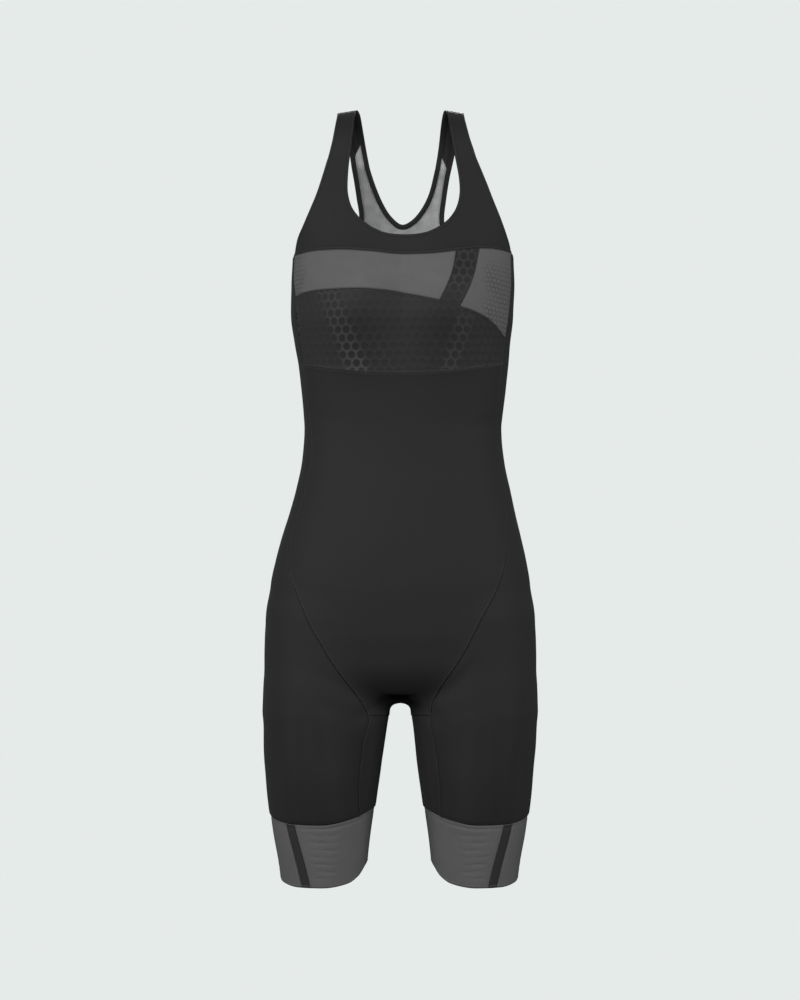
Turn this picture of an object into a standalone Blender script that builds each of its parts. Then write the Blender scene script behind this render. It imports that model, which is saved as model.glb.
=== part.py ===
"""Women's sleeveless triathlon suit, filled out as it is when worn, with nobody in it.

Metres, +Z up, the front faces -Y. The origin lies between the shoulder straps, on the
level where the wearer's shoulders carry them. Tables are in millimetres, and "drop" is
the distance below the origin.
"""

import bpy
import numpy as np
from mathutils.bvhtree import BVHTree

MM = 0.001

# Cloth and seams
WALL = 1.2 * MM
SEAM_GAP = 0.3 * MM


class Table:
    """Rows of sizes in millimetres, read in metres as smooth curves along the first column."""

    def __init__(self, columns, *rows):
        self.names = columns.split()
        self.rows = np.array(rows, float) * MM

    def column(self, name):
        return self.rows[:, self.names.index(name)]

    def at(self, place, *names):
        """The named columns at a place on the first column, without overshoot between rows."""
        key = self.rows[:, 0]
        place = np.clip(place, key[0], key[-1])
        i = np.clip(np.searchsorted(key, place, side="right") - 1, 0, len(key) - 2)
        step = np.diff(key)
        t = (place - key[i]) / step[i]
        found = []
        for name in names:
            value = self.column(name)
            rise = np.diff(value) / step
            before, after = rise[:-1], rise[1:]
            same_way = before * after > 0
            mean = 2 * before * after / np.where(same_way, before + after, 1)
            slope = np.concatenate([[rise[0]], np.where(same_way, mean, 0), [rise[-1]]])
            found.append(
                (1 + 2 * t) * (1 - t) ** 2 * value[i]
                + t * (1 - t) ** 2 * step[i] * slope[i]
                + t**2 * (3 - 2 * t) * value[i + 1]
                + t**2 * (t - 1) * step[i] * slope[i + 1]
            )
        return found[0] if len(found) == 1 else found


# The general figure that fills the suit: a trunk, closed by the shoulders and the crotch,
# and two thighs. Half width is to either side of the sway, front and back are from the
# shoulder line.
TRUNK = Table(
    "drop half_width front back sway",
    (60, 147, 64, 64, 0.6),
    (120, 139, 84, 82, 1.6),
    (170, 130.6, 96, 90, 2.6),
    (205, 130.2, 102, 91, 2.6),
    (240, 129.4, 101, 88, 2.3),
    (272, 126.6, 96, 83, 2.3),
    (300, 123.2, 91, 78, 2.5),
    (330, 118.8, 86, 73, 2.9),
    (357, 115.8, 83, 69, 2.9),
    (371, 114.6, 82, 68, 2.9),
    (386, 115.8, 82, 69, 2.9),
    (413, 118.8, 83, 73, 2.9),
    (441, 124.6, 86, 80, 2.9),
    (470, 131.6, 89, 88, 2.3),
    (498, 139.6, 92, 97, 1.2),
    (526, 146.2, 94, 106, 0.6),
    (554, 151.4, 95, 114, 0),
    (582, 154.6, 94, 119, -0.6),
    (610, 155, 92, 121, -0.8),
    (640, 152, 88, 119, -0.8),
)
SHOULDER_DROP = 60 * MM
SHOULDER_RISE = 62.6 * MM
CROTCH_DROP = 628 * MM
CROTCH_DEPTH = 64 * MM
TRUNK_ROUNDNESS = 2.25

THIGH = Table(
    "drop centre_x centre_y half_width half_depth",
    (600, 84, 8, 69.2, 84),
    (640, 84.5, 7, 72, 86),
    (670, 85.2, 5, 73, 87),
    (700, 86, 2, 73.8, 86),
    (717, 87, 0, 72.2, 84),
    (745, 88.6, -3, 70.2, 80),
    (773, 89.2, -5, 67, 77),
    (801, 89.8, -6, 63.6, 73),
    (839, 89.4, -7, 57.8, 67),
    (876, 88, -8, 52.2, 62),
    (912, 87, -8, 48, 58),
)
THIGH_TOP_DROP = 600 * MM
THIGH_TOP_RISE = 60 * MM
THIGH_ROUNDNESS = 2.15
GROIN_BLEND = 16 * MM

# Bust shaping: how far, where and how wide the front is worked out on each side
BUST_OUT = 22 * MM
BUST_X, BUST_DROP = 62 * MM, 222 * MM
BUST_HALF_WIDTH, BUST_HALF_HEIGHT = 46 * MM, 58 * MM

# Edges of the shoulder straps and the neck. "Over" is measured over the shoulder: below
# zero down the front, above zero down the back, and it is the drop beyond 60.
RIGHT_ARMHOLE = Table(
    "over x",
    (-171, -122.8),
    (-155, -118.8),
    (-138, -111.5),
    (-120, -103.3),
    (-101.6, -95.6),
    (-83, -89.6),
    (-64, -83.9),
    (-44, -77.1),
    (-22, -73.2),
    (0, -72),
    (18, -67.5),
    (34, -62.5),
    (51, -58),
    (70, -54.1),
    (95, -50.2),
    (115, -47.4),
    (128, -49),
    (145, -59.5),
)
LEFT_ARMHOLE = Table(
    "over x",
    (-168, 129),
    (-162, 127.2),
    (-146, 121.2),
    (-128, 113.9),
    (-110, 106.4),
    (-92, 99),
    (-73, 92),
    (-56, 85.3),
    (-43, 79.6),
    (-24, 75),
    (0, 73.5),
    (18, 70.5),
    (34, 67),
    (50, 63.4),
    (63, 59.2),
    (95, 53.8),
    (118, 51.4),
    (130, 53.2),
    (145, 62.5),
)
FRONT_NECK = Table(
    "x over",
    (-50.5, 0),
    (-52.5, -27),
    (-55.1, -46),
    (-58.1, -64),
    (-59.8, -85),
    (-59.7, -103),
    (-55.6, -119),
    (-47.8, -131),
    (-39, -139),
    (-29, -145.6),
    (-15.2, -151),
    (5, -152.9),
    (24.8, -151.3),
    (39.8, -145.8),
    (52.4, -137.3),
    (61.2, -126.7),
    (66.3, -114.9),
    (68.4, -101.9),
    (67.8, -87.5),
    (65.4, -71.9),
    (62.6, -58),
    (58.6, -43),
    (55.6, -27),
    (53, 0),
)
BACK_NECK = Table(
    "x over",
    (-50.5, 0),
    (-48.4, 14),
    (-45.9, 30),
    (-41.9, 46.5),
    (-37, 62),
    (-30.5, 81),
    (-21.3, 101.6),
    (-10.8, 117),
    (2, 126),
    (15.2, 120.6),
    (27.4, 106.6),
    (36.6, 88),
    (43, 63),
    (47.8, 44),
    (51, 20),
    (53, 0),
)
# Slanted seams behind the shoulders, where the straps go over to the racer back
RIGHT_STRAP_SEAM = {"outer": 54 * MM, "inner": 39 * MM}
LEFT_STRAP_SEAM = {"outer": 64 * MM, "inner": 48 * MM}

# Where the racer back leaves the straight of the armholes, and the share of the neck edge
# that lies beside each of them
RACER_FOOT = 145 * MM
RACER_NECK = 0.4

# Seams across the front of the chest
YOKE_SEAM = Table(
    "x drop",
    (-122.8, 171),
    (-93.7, 169),
    (-70.4, 169.5),
    (-31.7, 172.5),
    (2.7, 175.6),
    (30.6, 175.2),
    (64.5, 171.3),
    (90.2, 167.4),
    (108, 166.6),
    (129, 168),
)
CHEST_SEAM = Table(
    "x drop",
    (-120.8, 221),
    (-113.2, 218),
    (-93, 216),
    (-49.1, 216.1),
    (-14.7, 218.2),
    (11.3, 222.5),
    (45.1, 229.9),
    (66.7, 236.3),
    (80.9, 239.9),
    (95.4, 245.7),
    (108.2, 254.2),
    (121.8, 269),
)
UNDERBUST_SEAM = Table(
    "x drop",
    (-112.1, 300),
    (-84.7, 304.5),
    (-58.1, 308),
    (-31.9, 310.1),
    (2.8, 310.9),
    (37.6, 309.8),
    (72.7, 306.4),
    (118.4, 298),
)
# The slanted band that comes down between the two grey chest panels
BAND_TOP = (64.5 * MM, 90.2 * MM)
BAND_FOOT = (45.1 * MM, 66.7 * MM)

# Seams down the front of each side, over the hips and across to the inside of the thighs
RIGHT_SIDE_SEAM = Table(
    "drop x",
    (171, -122.8),
    (196, -123.7),
    (221, -120.8),
    (250, -115.6),
    (300, -112.1),
    (339, -107.5),
    (375, -103),
    (400, -102),
    (437, -108.4),
    (478, -120),
    (512, -128.4),
    (533, -128.4),
    (556, -120.6),
    (580, -110.6),
    (602, -100.6),
    (620, -89.6),
    (638, -79),
    (662, -62),
    (686, -43.5),
    (702, -34),
    (730, -42),
    (757, -45.6),
    (788, -47.8),
    (818, -47),
)
LEFT_SIDE_SEAM = Table(
    "drop x",
    (168, 129),
    (199, 129.2),
    (246, 125.4),
    (269, 121.8),
    (298, 118.4),
    (339, 115.2),
    (375, 113.6),
    (408, 114.8),
    (430, 119.4),
    (452, 123.2),
    (473, 124),
    (496, 123),
    (520, 121.4),
    (538, 117.6),
    (561, 108.7),
    (589, 93.2),
    (620, 77.5),
    (646, 62),
    (670, 46),
    (702, 32.5),
    (730, 38.8),
    (757, 43.2),
    (788, 46.6),
    (816, 47),
)
# The same behind, to either side of the middle
BACK_SIDE_SEAM = Table(
    "drop x",
    (172, 119),
    (236, 118),
    (300, 110),
    (371, 102),
    (413, 105),
    (470, 118),
    (526, 131),
    (556, 130),
    (590, 116),
    (620, 97),
    (650, 75),
    (680, 50),
    (702, 35),
    (730, 41),
    (757, 45),
    (788, 47),
    (818, 47),
)
BACK_SEAM_DROP = 236 * MM
THIGH_SEAM_DROP = 702 * MM
CROTCH_SEAM_DROP = 706 * MM
CROTCH_FAN = 100 * MM

# The cuff seam and the hem, by the way round the leg in degrees: 0 front, 90 outside
CUFF = Table(
    "way seam hem",
    (-90, 812, 876),
    (-70, 812.4, 879),
    (-50, 816, 889),
    (-30, 821.5, 896.5),
    (0, 827, 900.5),
    (30, 826.6, 900.5),
    (60, 823.4, 898),
    (90, 819, 896),
    (135, 818, 894),
    (180, 819, 890),
    (225, 815, 882),
    (270, 812, 876),
)
CUFF_LEVEL = 820 * MM
CUFF_STEP = 1.4 * MM
STRIPE_SEAM_X, STRIPE_HEM_X, STRIPE_WIDTH = 131.6 * MM, 112.2 * MM, 10 * MM

# Folded binding on the neck and armhole edges of the back
BINDING_WIDTH = 5.5 * MM
BINDING_PLY = 0.5 * MM
BINDING_GAP = 0.6 * MM
BINDING_STEP = 7.9 * MM

# How many faces each seam is divided into
CHEST_COLUMNS = (10, 2, 4)
PANEL_COLUMNS = 16
SIDE_COLUMNS = 12
CHEST_ROWS, UNDERBUST_ROWS = 5, 4
BODY_ROWS, CROTCH_ROWS, THIGH_ROWS = 17, 4, 6
STRAP_BACK_COLUMNS, STRAP_COLUMNS, STRAP_ROWS = 7, 11, 4
RACER_COLUMNS, RACER_ROWS, ARMHOLE_ROWS = 8, 4, 5
CUFF_ROWS = 4


def ring_share(*shares, roundness):
    """1 on a rounded form whose half sizes divide the distances from its middle."""
    return sum(np.abs(s) ** roundness for s in shares) ** (1 / roundness)


def figure(p):
    """About the distance in metres from the figure's skin, negative inside it."""
    y, drop = p[..., 1], -p[..., 2]
    half_width, front, back, sway = TRUNK.at(drop, "half_width", "front", "back", "sway")
    x = np.abs(p[..., 0] - sway)
    bust = BUST_OUT * np.exp(
        -(((x - BUST_X) / BUST_HALF_WIDTH) ** 2) - ((drop - BUST_DROP) / BUST_HALF_HEIGHT) ** 2
    )
    end = np.maximum(
        (SHOULDER_DROP - drop) / SHOULDER_RISE, (drop - CROTCH_DROP) / CROTCH_DEPTH
    )
    trunk = 0.1 * (
        ring_share(
            x / half_width,
            y / np.where(y < 0, front + bust, back),
            np.maximum(end, 0),
            roundness=TRUNK_ROUNDNESS,
        )
        - 1
    )
    centre_x, centre_y, thigh_width, thigh_depth = THIGH.at(
        drop, "centre_x", "centre_y", "half_width", "half_depth"
    )
    top = np.maximum((THIGH_TOP_DROP - drop) / THIGH_TOP_RISE, 0)
    thigh = 0.075 * (
        ring_share(
            (x - centre_x) / thigh_width,
            (y - centre_y) / thigh_depth,
            top,
            roundness=THIGH_ROUNDNESS,
        )
        - 1
    )
    blend = np.clip(0.5 + 0.5 * (thigh - trunk) / GROIN_BLEND, 0, 1)
    return thigh + (trunk - thigh) * blend - GROIN_BLEND * blend * (1 - blend)


def points(x, y, z):
    return np.stack(np.broadcast_arrays(x, y, z), -1).astype(float)


def outward(p):
    """Unit directions square to the skin."""
    step = 0.4 * MM
    slope = [figure(p + step * axis) - figure(p - step * axis) for axis in np.eye(3)]
    slope = np.stack(slope, -1)
    return slope / np.linalg.norm(slope, axis=-1, keepdims=True)


def cast(start, toward, reach=0.26):
    """Where lines from inside the figure come out through the skin."""
    toward = toward / np.linalg.norm(toward, axis=-1, keepdims=True)
    near = np.zeros(np.broadcast_shapes(start.shape, toward.shape)[:-1] + (1,))
    far = near + np.asarray(reach)[..., None]
    for _ in range(30):
        middle = (near + far) / 2
        inside = figure(start + toward * middle)[..., None] < 0
        near, far = np.where(inside, middle, near), np.where(inside, far, middle)
    return start + toward * near


def settle(p):
    """Points near the skin brought onto it."""
    for _ in range(12):
        step = 0.2 * MM
        slope = [(figure(p + step * axis) - figure(p - step * axis)) / (2 * step) for axis in np.eye(3)]
        slope = np.stack(slope, -1)
        p = p - figure(p)[..., None] * slope / np.sum(slope**2, -1, keepdims=True)
    return p


def over_shoulder(x, over):
    """Skin points by x and the way over the shoulder, front below zero."""
    x, over = np.broadcast_arrays(np.asarray(x, float), np.asarray(over, float))
    turn = np.clip(over / SHOULDER_DROP, -1, 1) * np.pi / 2
    drop = np.maximum(np.abs(over), SHOULDER_DROP)
    return cast(points(x, 0, -drop), points(0, np.sin(turn), np.cos(turn)))


def across(start, end, middle, way, shares):
    """A row of skin points from start round the middle to end; way is +1 towards +X in front."""
    turn_a = np.arctan2(start[0] - middle[0], middle[1] - start[1])
    turn_b = np.arctan2(end[0] - middle[0], middle[1] - end[1])
    if way * (turn_b - turn_a) < 0:
        turn_b += way * 2 * np.pi
    turn = turn_a + (turn_b - turn_a) * shares
    height = start[2] + (end[2] - start[2]) * shares
    row = cast(points(middle[0], middle[1], height), points(np.sin(turn), -np.cos(turn), 0))
    row[0], row[-1] = start, end
    return row


def smooth_path(path, count, shares=None):
    """A smooth line through the given places, cut into equal lengths or at the shares."""
    path = np.asarray(path, float)
    ends = np.vstack([2 * path[0] - path[1], path, 2 * path[-1] - path[-2]])
    t = np.linspace(0, 1, 12, endpoint=False)[:, None]
    a, b, c, d = ends[:-3, None], ends[1:-2, None], ends[2:-1, None], ends[3:, None]
    line = 0.5 * (2 * b + (c - a) * t + (2 * a - 5 * b + 4 * c - d) * t**2 + (3 * b - a - 3 * c + d) * t**3)
    line = np.vstack([line.reshape(-1, path.shape[1]), path[-1]])
    run = np.concatenate([[0], np.cumsum(np.linalg.norm(np.diff(line, axis=0), axis=1))])
    shares = np.linspace(0, 1, count + 1) if shares is None else shares
    return np.stack([np.interp(shares * run[-1], run, line[:, i]) for i in range(line.shape[1])], 1)


def edge_path(table, low, high, count):
    """Places (x, over) along an edge table that is read by the way over the shoulder."""
    over = np.linspace(low, high, 60)
    return smooth_path(np.stack([table.at(over, "x"), over], 1), count)


def table_path(table, low, high, count):
    """Places along a neck table between two shares of its length."""
    return smooth_path(table.rows, count, np.linspace(low, high, count + 1))


def sew_line(table, start, end, count):
    """Skin points along a chest seam between two x."""
    x = np.linspace(start, end, 40)
    line = over_shoulder(x, -table.at(x, "drop"))
    return smooth_path(line, count)


def between(top, foot, rows):
    """Skin points on rows between two seams of the trunk."""
    grid = []
    for share in np.linspace(0, 1, rows + 1):
        sway = TRUNK.at(-top[:, 2], "sway")
        middle_a, middle_b = top - points(sway, 0, 0), foot - points(sway, 0, 0)
        turn = [np.arctan2(m[:, 0], -m[:, 1]) for m in (middle_a, middle_b)]
        turn[1] += 2 * np.pi * np.round((turn[0] - turn[1]) / (2 * np.pi))
        turn = turn[0] + (turn[1] - turn[0]) * share
        height = top[:, 2] + (foot[:, 2] - top[:, 2]) * share
        grid.append(cast(points(sway, 0, height), points(np.sin(turn), -np.cos(turn), 0)))
    grid[0], grid[-1] = top, foot
    return np.array(grid)


class Panel:
    """A piece of cloth: places on the figure joined by four-cornered faces."""

    def __init__(self):
        self.places, self.faces, self.known = [], [], {}

    def place(self, p):
        key = tuple(np.round(p / (0.02 * MM)).astype(int))
        if key not in self.known:
            self.known[key] = len(self.places)
            self.places.append(p)
        return self.known[key]

    def grid(self, rows):
        rows = np.asarray(rows)
        a, b = rows[1:, :-1] - rows[:-1, :-1], rows[:-1, 1:] - rows[:-1, :-1]
        if np.sum(np.cross(a, b) * outward(rows[:-1, :-1])) < 0:
            rows = rows[:, ::-1]
        index = [[self.place(p) for p in row] for row in rows]
        for upper, lower in zip(index[:-1], index[1:]):
            for a, b, c, d in zip(upper[:-1], lower[:-1], lower[1:], upper[1:]):
                spans = [np.linalg.norm(self.places[i] - self.places[j]) for i, j in ((a, c), (b, d))]
                halves = ((a, b, c), (a, c, d)) if spans[0] < spans[1] else ((a, b, d), (b, c, d))
                self.faces += [list(half) for half in halves if len(set(half)) == 3]
        return self

    def solid(self, name, sink=0):
        """Both faces of the cloth and its cut edge, drawn in from the seams round it."""
        p = np.array(self.places)
        normal = outward(p)
        faces = self.faces
        sides = {(a, b) for face in faces for a, b in zip(face, face[1:] + face[:1])}
        rim = {a: b for a, b in sides if (b, a) not in sides}
        before = {b: a for a, b in rim.items()}
        moved = p.copy()
        for v, after in rim.items():
            inward = []
            for a, b in ((before[v], v), (v, after)):
                side = np.cross(normal[v], p[b] - p[a])
                inward.append(side / np.linalg.norm(side))
            inward = (inward[0] + inward[1]) / max(1 + inward[0] @ inward[1], 0.3)
            moved[v] = p[v] + inward * SEAM_GAP / 2
        outer, inner = moved - normal * sink, moved - normal * (sink + WALL)
        count = len(p)
        made = faces + [[v + count for v in face[::-1]] for face in faces]
        order = p @ (1, 1.37, 2.11)
        for a, b in rim.items():
            low, high = (a, b) if order[a] < order[b] else (b, a)
            ends = ([low, high, high + count], [low, high + count, low + count])
            made += [end if low == b else end[::-1] for end in ends]
        return add_solid(name, np.vstack([outer, inner]), made)


def add_solid(name, places, faces):
    mesh = bpy.data.meshes.new(name)
    mesh.from_pydata([tuple(v) for v in places], [], faces)
    mesh.validate()
    mesh.update()
    made = bpy.data.objects.new(name, mesh)
    bpy.context.scene.collection.objects.link(made)
    mesh.materials.append(CLOTHS[name])
    return made


def cloth(name, colour, roughness):
    made = bpy.data.materials.new(name)
    made.use_nodes = True
    shader = made.node_tree.nodes["Principled BSDF"]
    shader.inputs["Base Color"].default_value = (*colour, 1)
    shader.inputs["Roughness"].default_value = roughness
    return made


BLACK, GREY, LIGHT_GREY = (0.026, 0.027, 0.027), (0.11, 0.11, 0.11), (0.26, 0.26, 0.26)
COLOURS = {
    "yoke_front": BLACK,
    "chest_panel_r": GREY,
    "chest_panel_l": GREY,
    "honeycomb_panel": BLACK,
    "body_front": BLACK,
    "side_leg_r": BLACK,
    "side_leg_l": BLACK,
    "inner_leg_r": BLACK,
    "inner_leg_l": BLACK,
    "cuff_band_r": GREY,
    "cuff_band_l": GREY,
    "cuff_stripe_r": BLACK,
    "cuff_stripe_l": BLACK,
    "back_racer": LIGHT_GREY,
    "back_body": BLACK,
    "neck_binding": BLACK,
    "armhole_binding_r": BLACK,
    "armhole_binding_l": BLACK,
}

for old in list(bpy.data.objects):
    bpy.data.objects.remove(old, do_unlink=True)
CLOTHS = {name: cloth(name, colour, 0.8) for name, colour in COLOURS.items()}

# --- Seams of the trunk and legs, as skin points shared by the pieces on either side ---
TOP_ROWS = CHEST_ROWS + UNDERBUST_ROWS
LEG_ROWS = TOP_ROWS + BODY_ROWS


def seam_levels(top, chest, underbust):
    """Drops of the rows down a side seam as far as the seam inside the thigh."""
    return np.concatenate(
        [
            np.linspace(top, chest, CHEST_ROWS + 1)[:-1],
            np.linspace(chest, underbust, UNDERBUST_ROWS + 1)[:-1],
            np.linspace(underbust, THIGH_SEAM_DROP, BODY_ROWS + 1),
        ]
    )


def side_seam(table, chest, underbust):
    """Skin points down a front side seam."""
    drop = seam_levels(table.rows[0, 0], chest, underbust)
    return over_shoulder(table.at(drop, "x"), -drop)


def back_seam(side):
    drop = seam_levels(BACK_SIDE_SEAM.rows[0, 0], BACK_SEAM_DROP, 298 * MM)
    return over_shoulder(side * BACK_SIDE_SEAM.at(drop, "x") + TRUNK.at(drop, "sway"), drop)


def leg_middle(side, drop):
    """Middle of a leg at a drop."""
    x, y = THIGH.at(drop, "centre_x", "centre_y")
    return points(side * x + TRUNK.at(drop, "sway"), y, -drop)


def leg_point(side, way, drop):
    """Skin point of a leg, by the way round from the front to the outside in radians."""
    inward = np.maximum(-np.sin(way), 0.3)
    reach = THIGH.at(drop, "centre_x") / inward
    return cast(leg_middle(side, drop), points(side * np.sin(way), -np.cos(way), 0), reach)


def way_round(side, p):
    middle = leg_middle(side, -p[..., 2])
    return np.arctan2(side * (p[..., 0] - middle[..., 0]), middle[..., 1] - p[..., 1])


def cuff_drop(way, name):
    degrees = (np.degrees(way) + 90) % 360 - 90
    return CUFF.at(degrees * MM, name)


def leg_row(side, first, last, level, columns):
    """A row round a leg between two ways, level above and falling into the cuff seam below."""
    way = np.linspace(first, last, columns + 1)
    fall = np.clip((level - THIGH_SEAM_DROP) / (CUFF_LEVEL - THIGH_SEAM_DROP), 0, 1)
    return leg_point(side, way, level + fall * (cuff_drop(way, "seam") - CUFF_LEVEL))


def thigh_ways(side, level):
    """Ways round the leg of the seams in front of and behind the inner leg."""
    table = LEFT_SIDE_SEAM if side > 0 else RIGHT_SIDE_SEAM
    sway = TRUNK.at(level, "sway")
    front = over_shoulder(table.at(level, "x"), -level)
    back = over_shoulder(side * BACK_SIDE_SEAM.at(level, "x") + sway, level)
    return way_round(side, front), way_round(side, back) % (2 * np.pi)


RIGHT_SEAM = side_seam(RIGHT_SIDE_SEAM, 221 * MM, 300 * MM)
LEFT_SEAM = side_seam(LEFT_SIDE_SEAM, 269 * MM, 298 * MM)
FRONT_SEAMS = {-1: RIGHT_SEAM, 1: LEFT_SEAM}
BACK_SEAMS = {side: back_seam(side) for side in (-1, 1)}
THIGH_LEVELS = np.linspace(THIGH_SEAM_DROP, CUFF_LEVEL, THIGH_ROWS + 1)


def chest_line(table, corners, splits):
    """A seam across the chest, in the lengths of the panels that meet along it."""
    ends = [corners[0], *splits, corners[1]]
    lines = []
    for start, end, count in zip(ends[:-1], ends[1:], CHEST_COLUMNS):
        lines.append(sew_line(table, start, end, count))
    return lines


YOKE_LINES = chest_line(YOKE_SEAM, (RIGHT_SEAM[0, 0], LEFT_SEAM[0, 0]), BAND_TOP)
CHEST_LINES = chest_line(
    CHEST_SEAM, (RIGHT_SEAM[CHEST_ROWS, 0], LEFT_SEAM[CHEST_ROWS, 0]), BAND_FOOT
)
UNDERBUST_LINE = sew_line(
    UNDERBUST_SEAM, RIGHT_SEAM[TOP_ROWS, 0], LEFT_SEAM[TOP_ROWS, 0], PANEL_COLUMNS
)
for lines in (YOKE_LINES, CHEST_LINES):
    row = 0 if lines is YOKE_LINES else CHEST_ROWS
    lines[0][0], lines[-1][-1] = RIGHT_SEAM[row], LEFT_SEAM[row]
    for one, two in zip(lines[:-1], lines[1:]):
        two[0] = one[-1]
UNDERBUST_LINE[0], UNDERBUST_LINE[-1] = RIGHT_SEAM[TOP_ROWS], LEFT_SEAM[TOP_ROWS]

# --- Chest panels and the honeycomb panel ---
chest_grids = []
for number, (top, foot) in enumerate(zip(YOKE_LINES, CHEST_LINES)):
    rows = between(settle(top), settle(foot), CHEST_ROWS)
    if number == 0:
        rows[:, 0] = RIGHT_SEAM[: CHEST_ROWS + 1]
    if number == 2:
        rows[:, -1] = LEFT_SEAM[: CHEST_ROWS + 1]
    if number:
        rows[:, 0] = chest_grids[-1][:, -1]
    chest_grids.append(rows)
Panel().grid(chest_grids[0]).solid("chest_panel_r")
Panel().grid(chest_grids[2]).solid("chest_panel_l")

chest_row = np.vstack([grid[-1][:-1] for grid in chest_grids[:2]] + [chest_grids[2][-1]])
underbust = between(chest_row, settle(UNDERBUST_LINE), UNDERBUST_ROWS)
underbust[:, 0] = RIGHT_SEAM[CHEST_ROWS : TOP_ROWS + 1]
underbust[:, -1] = LEFT_SEAM[CHEST_ROWS : TOP_ROWS + 1]
Panel().grid(chest_grids[1]).grid(underbust).solid("honeycomb_panel")

# --- Yoke: upper chest and both straps, over the shoulders to the slanted seams behind ---
right_edge = np.vstack(
    [
        edge_path(RIGHT_ARMHOLE, RIGHT_STRAP_SEAM["outer"], 0, STRAP_BACK_COLUMNS)[:-1],
        edge_path(RIGHT_ARMHOLE, 0, -171 * MM, STRAP_COLUMNS),
    ]
)
left_edge = np.vstack(
    [
        edge_path(LEFT_ARMHOLE, -168 * MM, 0, STRAP_COLUMNS)[:-1],
        edge_path(LEFT_ARMHOLE, 0, LEFT_STRAP_SEAM["outer"], STRAP_BACK_COLUMNS),
    ]
)
yoke_foot = np.vstack([grid[0][:-1] for grid in chest_grids[:2]] + [chest_grids[2][0]])
outer_edge = np.vstack(
    [
        right_edge[:-1],
        np.stack([yoke_foot[:, 0], yoke_foot[:, 2]], 1),
        left_edge[1:],
    ]
)

back_neck = smooth_path(BACK_NECK.rows, 600)[:, 1]
shares = np.linspace(0, 1, 601)
RIGHT_NECK_END = np.interp(RIGHT_STRAP_SEAM["inner"], back_neck[:200], shares[:200])
LEFT_NECK_END = np.interp(LEFT_STRAP_SEAM["inner"], back_neck[:-200:-1], shares[:-200:-1])
inner_edge = np.vstack(
    [
        table_path(BACK_NECK, RIGHT_NECK_END, 0, STRAP_BACK_COLUMNS)[:-1],
        table_path(FRONT_NECK, 0, 0.30, STRAP_COLUMNS)[:-1],
        table_path(FRONT_NECK, 0.30, 0.68, PANEL_COLUMNS),
        table_path(FRONT_NECK, 0.68, 1, STRAP_COLUMNS)[1:],
        table_path(BACK_NECK, 1, LEFT_NECK_END, STRAP_BACK_COLUMNS)[1:],
    ]
)
yoke_rows = []
for share in np.linspace(0, 1, STRAP_ROWS + 1):
    line = outer_edge + (inner_edge - outer_edge) * share
    yoke_rows.append(over_shoulder(line[:, 0], line[:, 1]))
yoke_rows = np.array(yoke_rows)
foot = slice(len(right_edge) - 1, len(right_edge) - 1 + PANEL_COLUMNS + 1)
yoke_rows[0, foot] = yoke_foot
yoke = Panel().grid(yoke_rows)
yoke.solid("yoke_front")

# --- Lower front and back: from the chest or waist under the crotch to the seam there ---


def crotch_edge(side, face):
    """Skin points along the top of the inner leg, from the side seam to the crotch seam."""
    front, back = thigh_ways(side, THIGH_SEAM_DROP)
    start = front if face < 0 else back
    end = -np.pi / 2 if face < 0 else 1.5 * np.pi
    share = np.linspace(0, 1, CROTCH_ROWS + 1)
    drop = THIGH_SEAM_DROP + (CROTCH_SEAM_DROP - THIGH_SEAM_DROP) * share
    return leg_point(side, start + (end - start) * share, drop)


CROTCH_EDGES = {(side, face): crotch_edge(side, face) for side in (-1, 1) for face in (-1, 1)}
for (side, face), edge in CROTCH_EDGES.items():
    edge[0] = (FRONT_SEAMS if face < 0 else BACK_SEAMS)[side][LEG_ROWS]


def trunk_rows(face, start, first, shares):
    """Rows between both side seams from one level to the crotch seam; face is -1 in front."""
    seams = FRONT_SEAMS if face < 0 else BACK_SEAMS
    edges = {side: np.vstack([seams[side], CROTCH_EDGES[side, face][1:]]) for side in (-1, 1)}
    low = 602 * MM
    drops = -np.vstack([edges[-1][:, 2], edges[1][:, 2]]).mean(0)
    turn_in = int(np.argmax(drops > low))
    last = len(drops) - 1
    rows = []
    for i in range(start, last + 1):
        a, b = (edges[-1][i], edges[1][i]) if face < 0 else (edges[1][i], edges[-1][i])
        if i == start and first is not None:
            rows.append(first)
            continue
        if i < turn_in:
            middle = points(TRUNK.at(drops[i], "sway"), 0, 0)
            rows.append(across(a, b, middle, 1, shares))
            continue
        end = CROTCH_DROP + CROTCH_FAN
        run = drops[turn_in - 1] + (end - drops[turn_in - 1]) * (i - turn_in + 1) / (last - turn_in + 1)
        turn = np.clip((run - CROTCH_DROP) / CROTCH_FAN, 0, 1) * np.pi / 2
        origin = points((a[0] + b[0]) / 2, 0, -min(run, CROTCH_DROP))
        middle = cast(origin, points(0, face * np.cos(turn), -np.sin(turn)))
        t = shares[:, None]
        guess = a * (1 - t) * (1 - 2 * t) + middle * 4 * t * (1 - t) + b * t * (2 * t - 1)
        row = settle(guess)
        row[0], row[-1] = a, b
        rows.append(row)
    return np.array(rows)


turns = np.arctan2(underbust[-1, :, 0] - underbust[-1, :, 0].mean(), -underbust[-1, :, 1])
FRONT_SHARES = (turns - turns[0]) / (turns[-1] - turns[0])
even = np.linspace(0, 1, PANEL_COLUMNS + 1)
BACK_SHARES = (even + (1 - np.cos(np.pi * even)) / 2) / 2
front_rows = trunk_rows(-1, TOP_ROWS, underbust[-1], FRONT_SHARES)
back_rows = trunk_rows(1, CHEST_ROWS, None, BACK_SHARES)
back_rows[-1] = smooth_path(front_rows[-1][::-1], PANEL_COLUMNS, BACK_SHARES)
front_rows[-1] = back_rows[-1][::-1]
Panel().grid(front_rows).solid("body_front")
Panel().grid(back_rows).solid("back_body")

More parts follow.
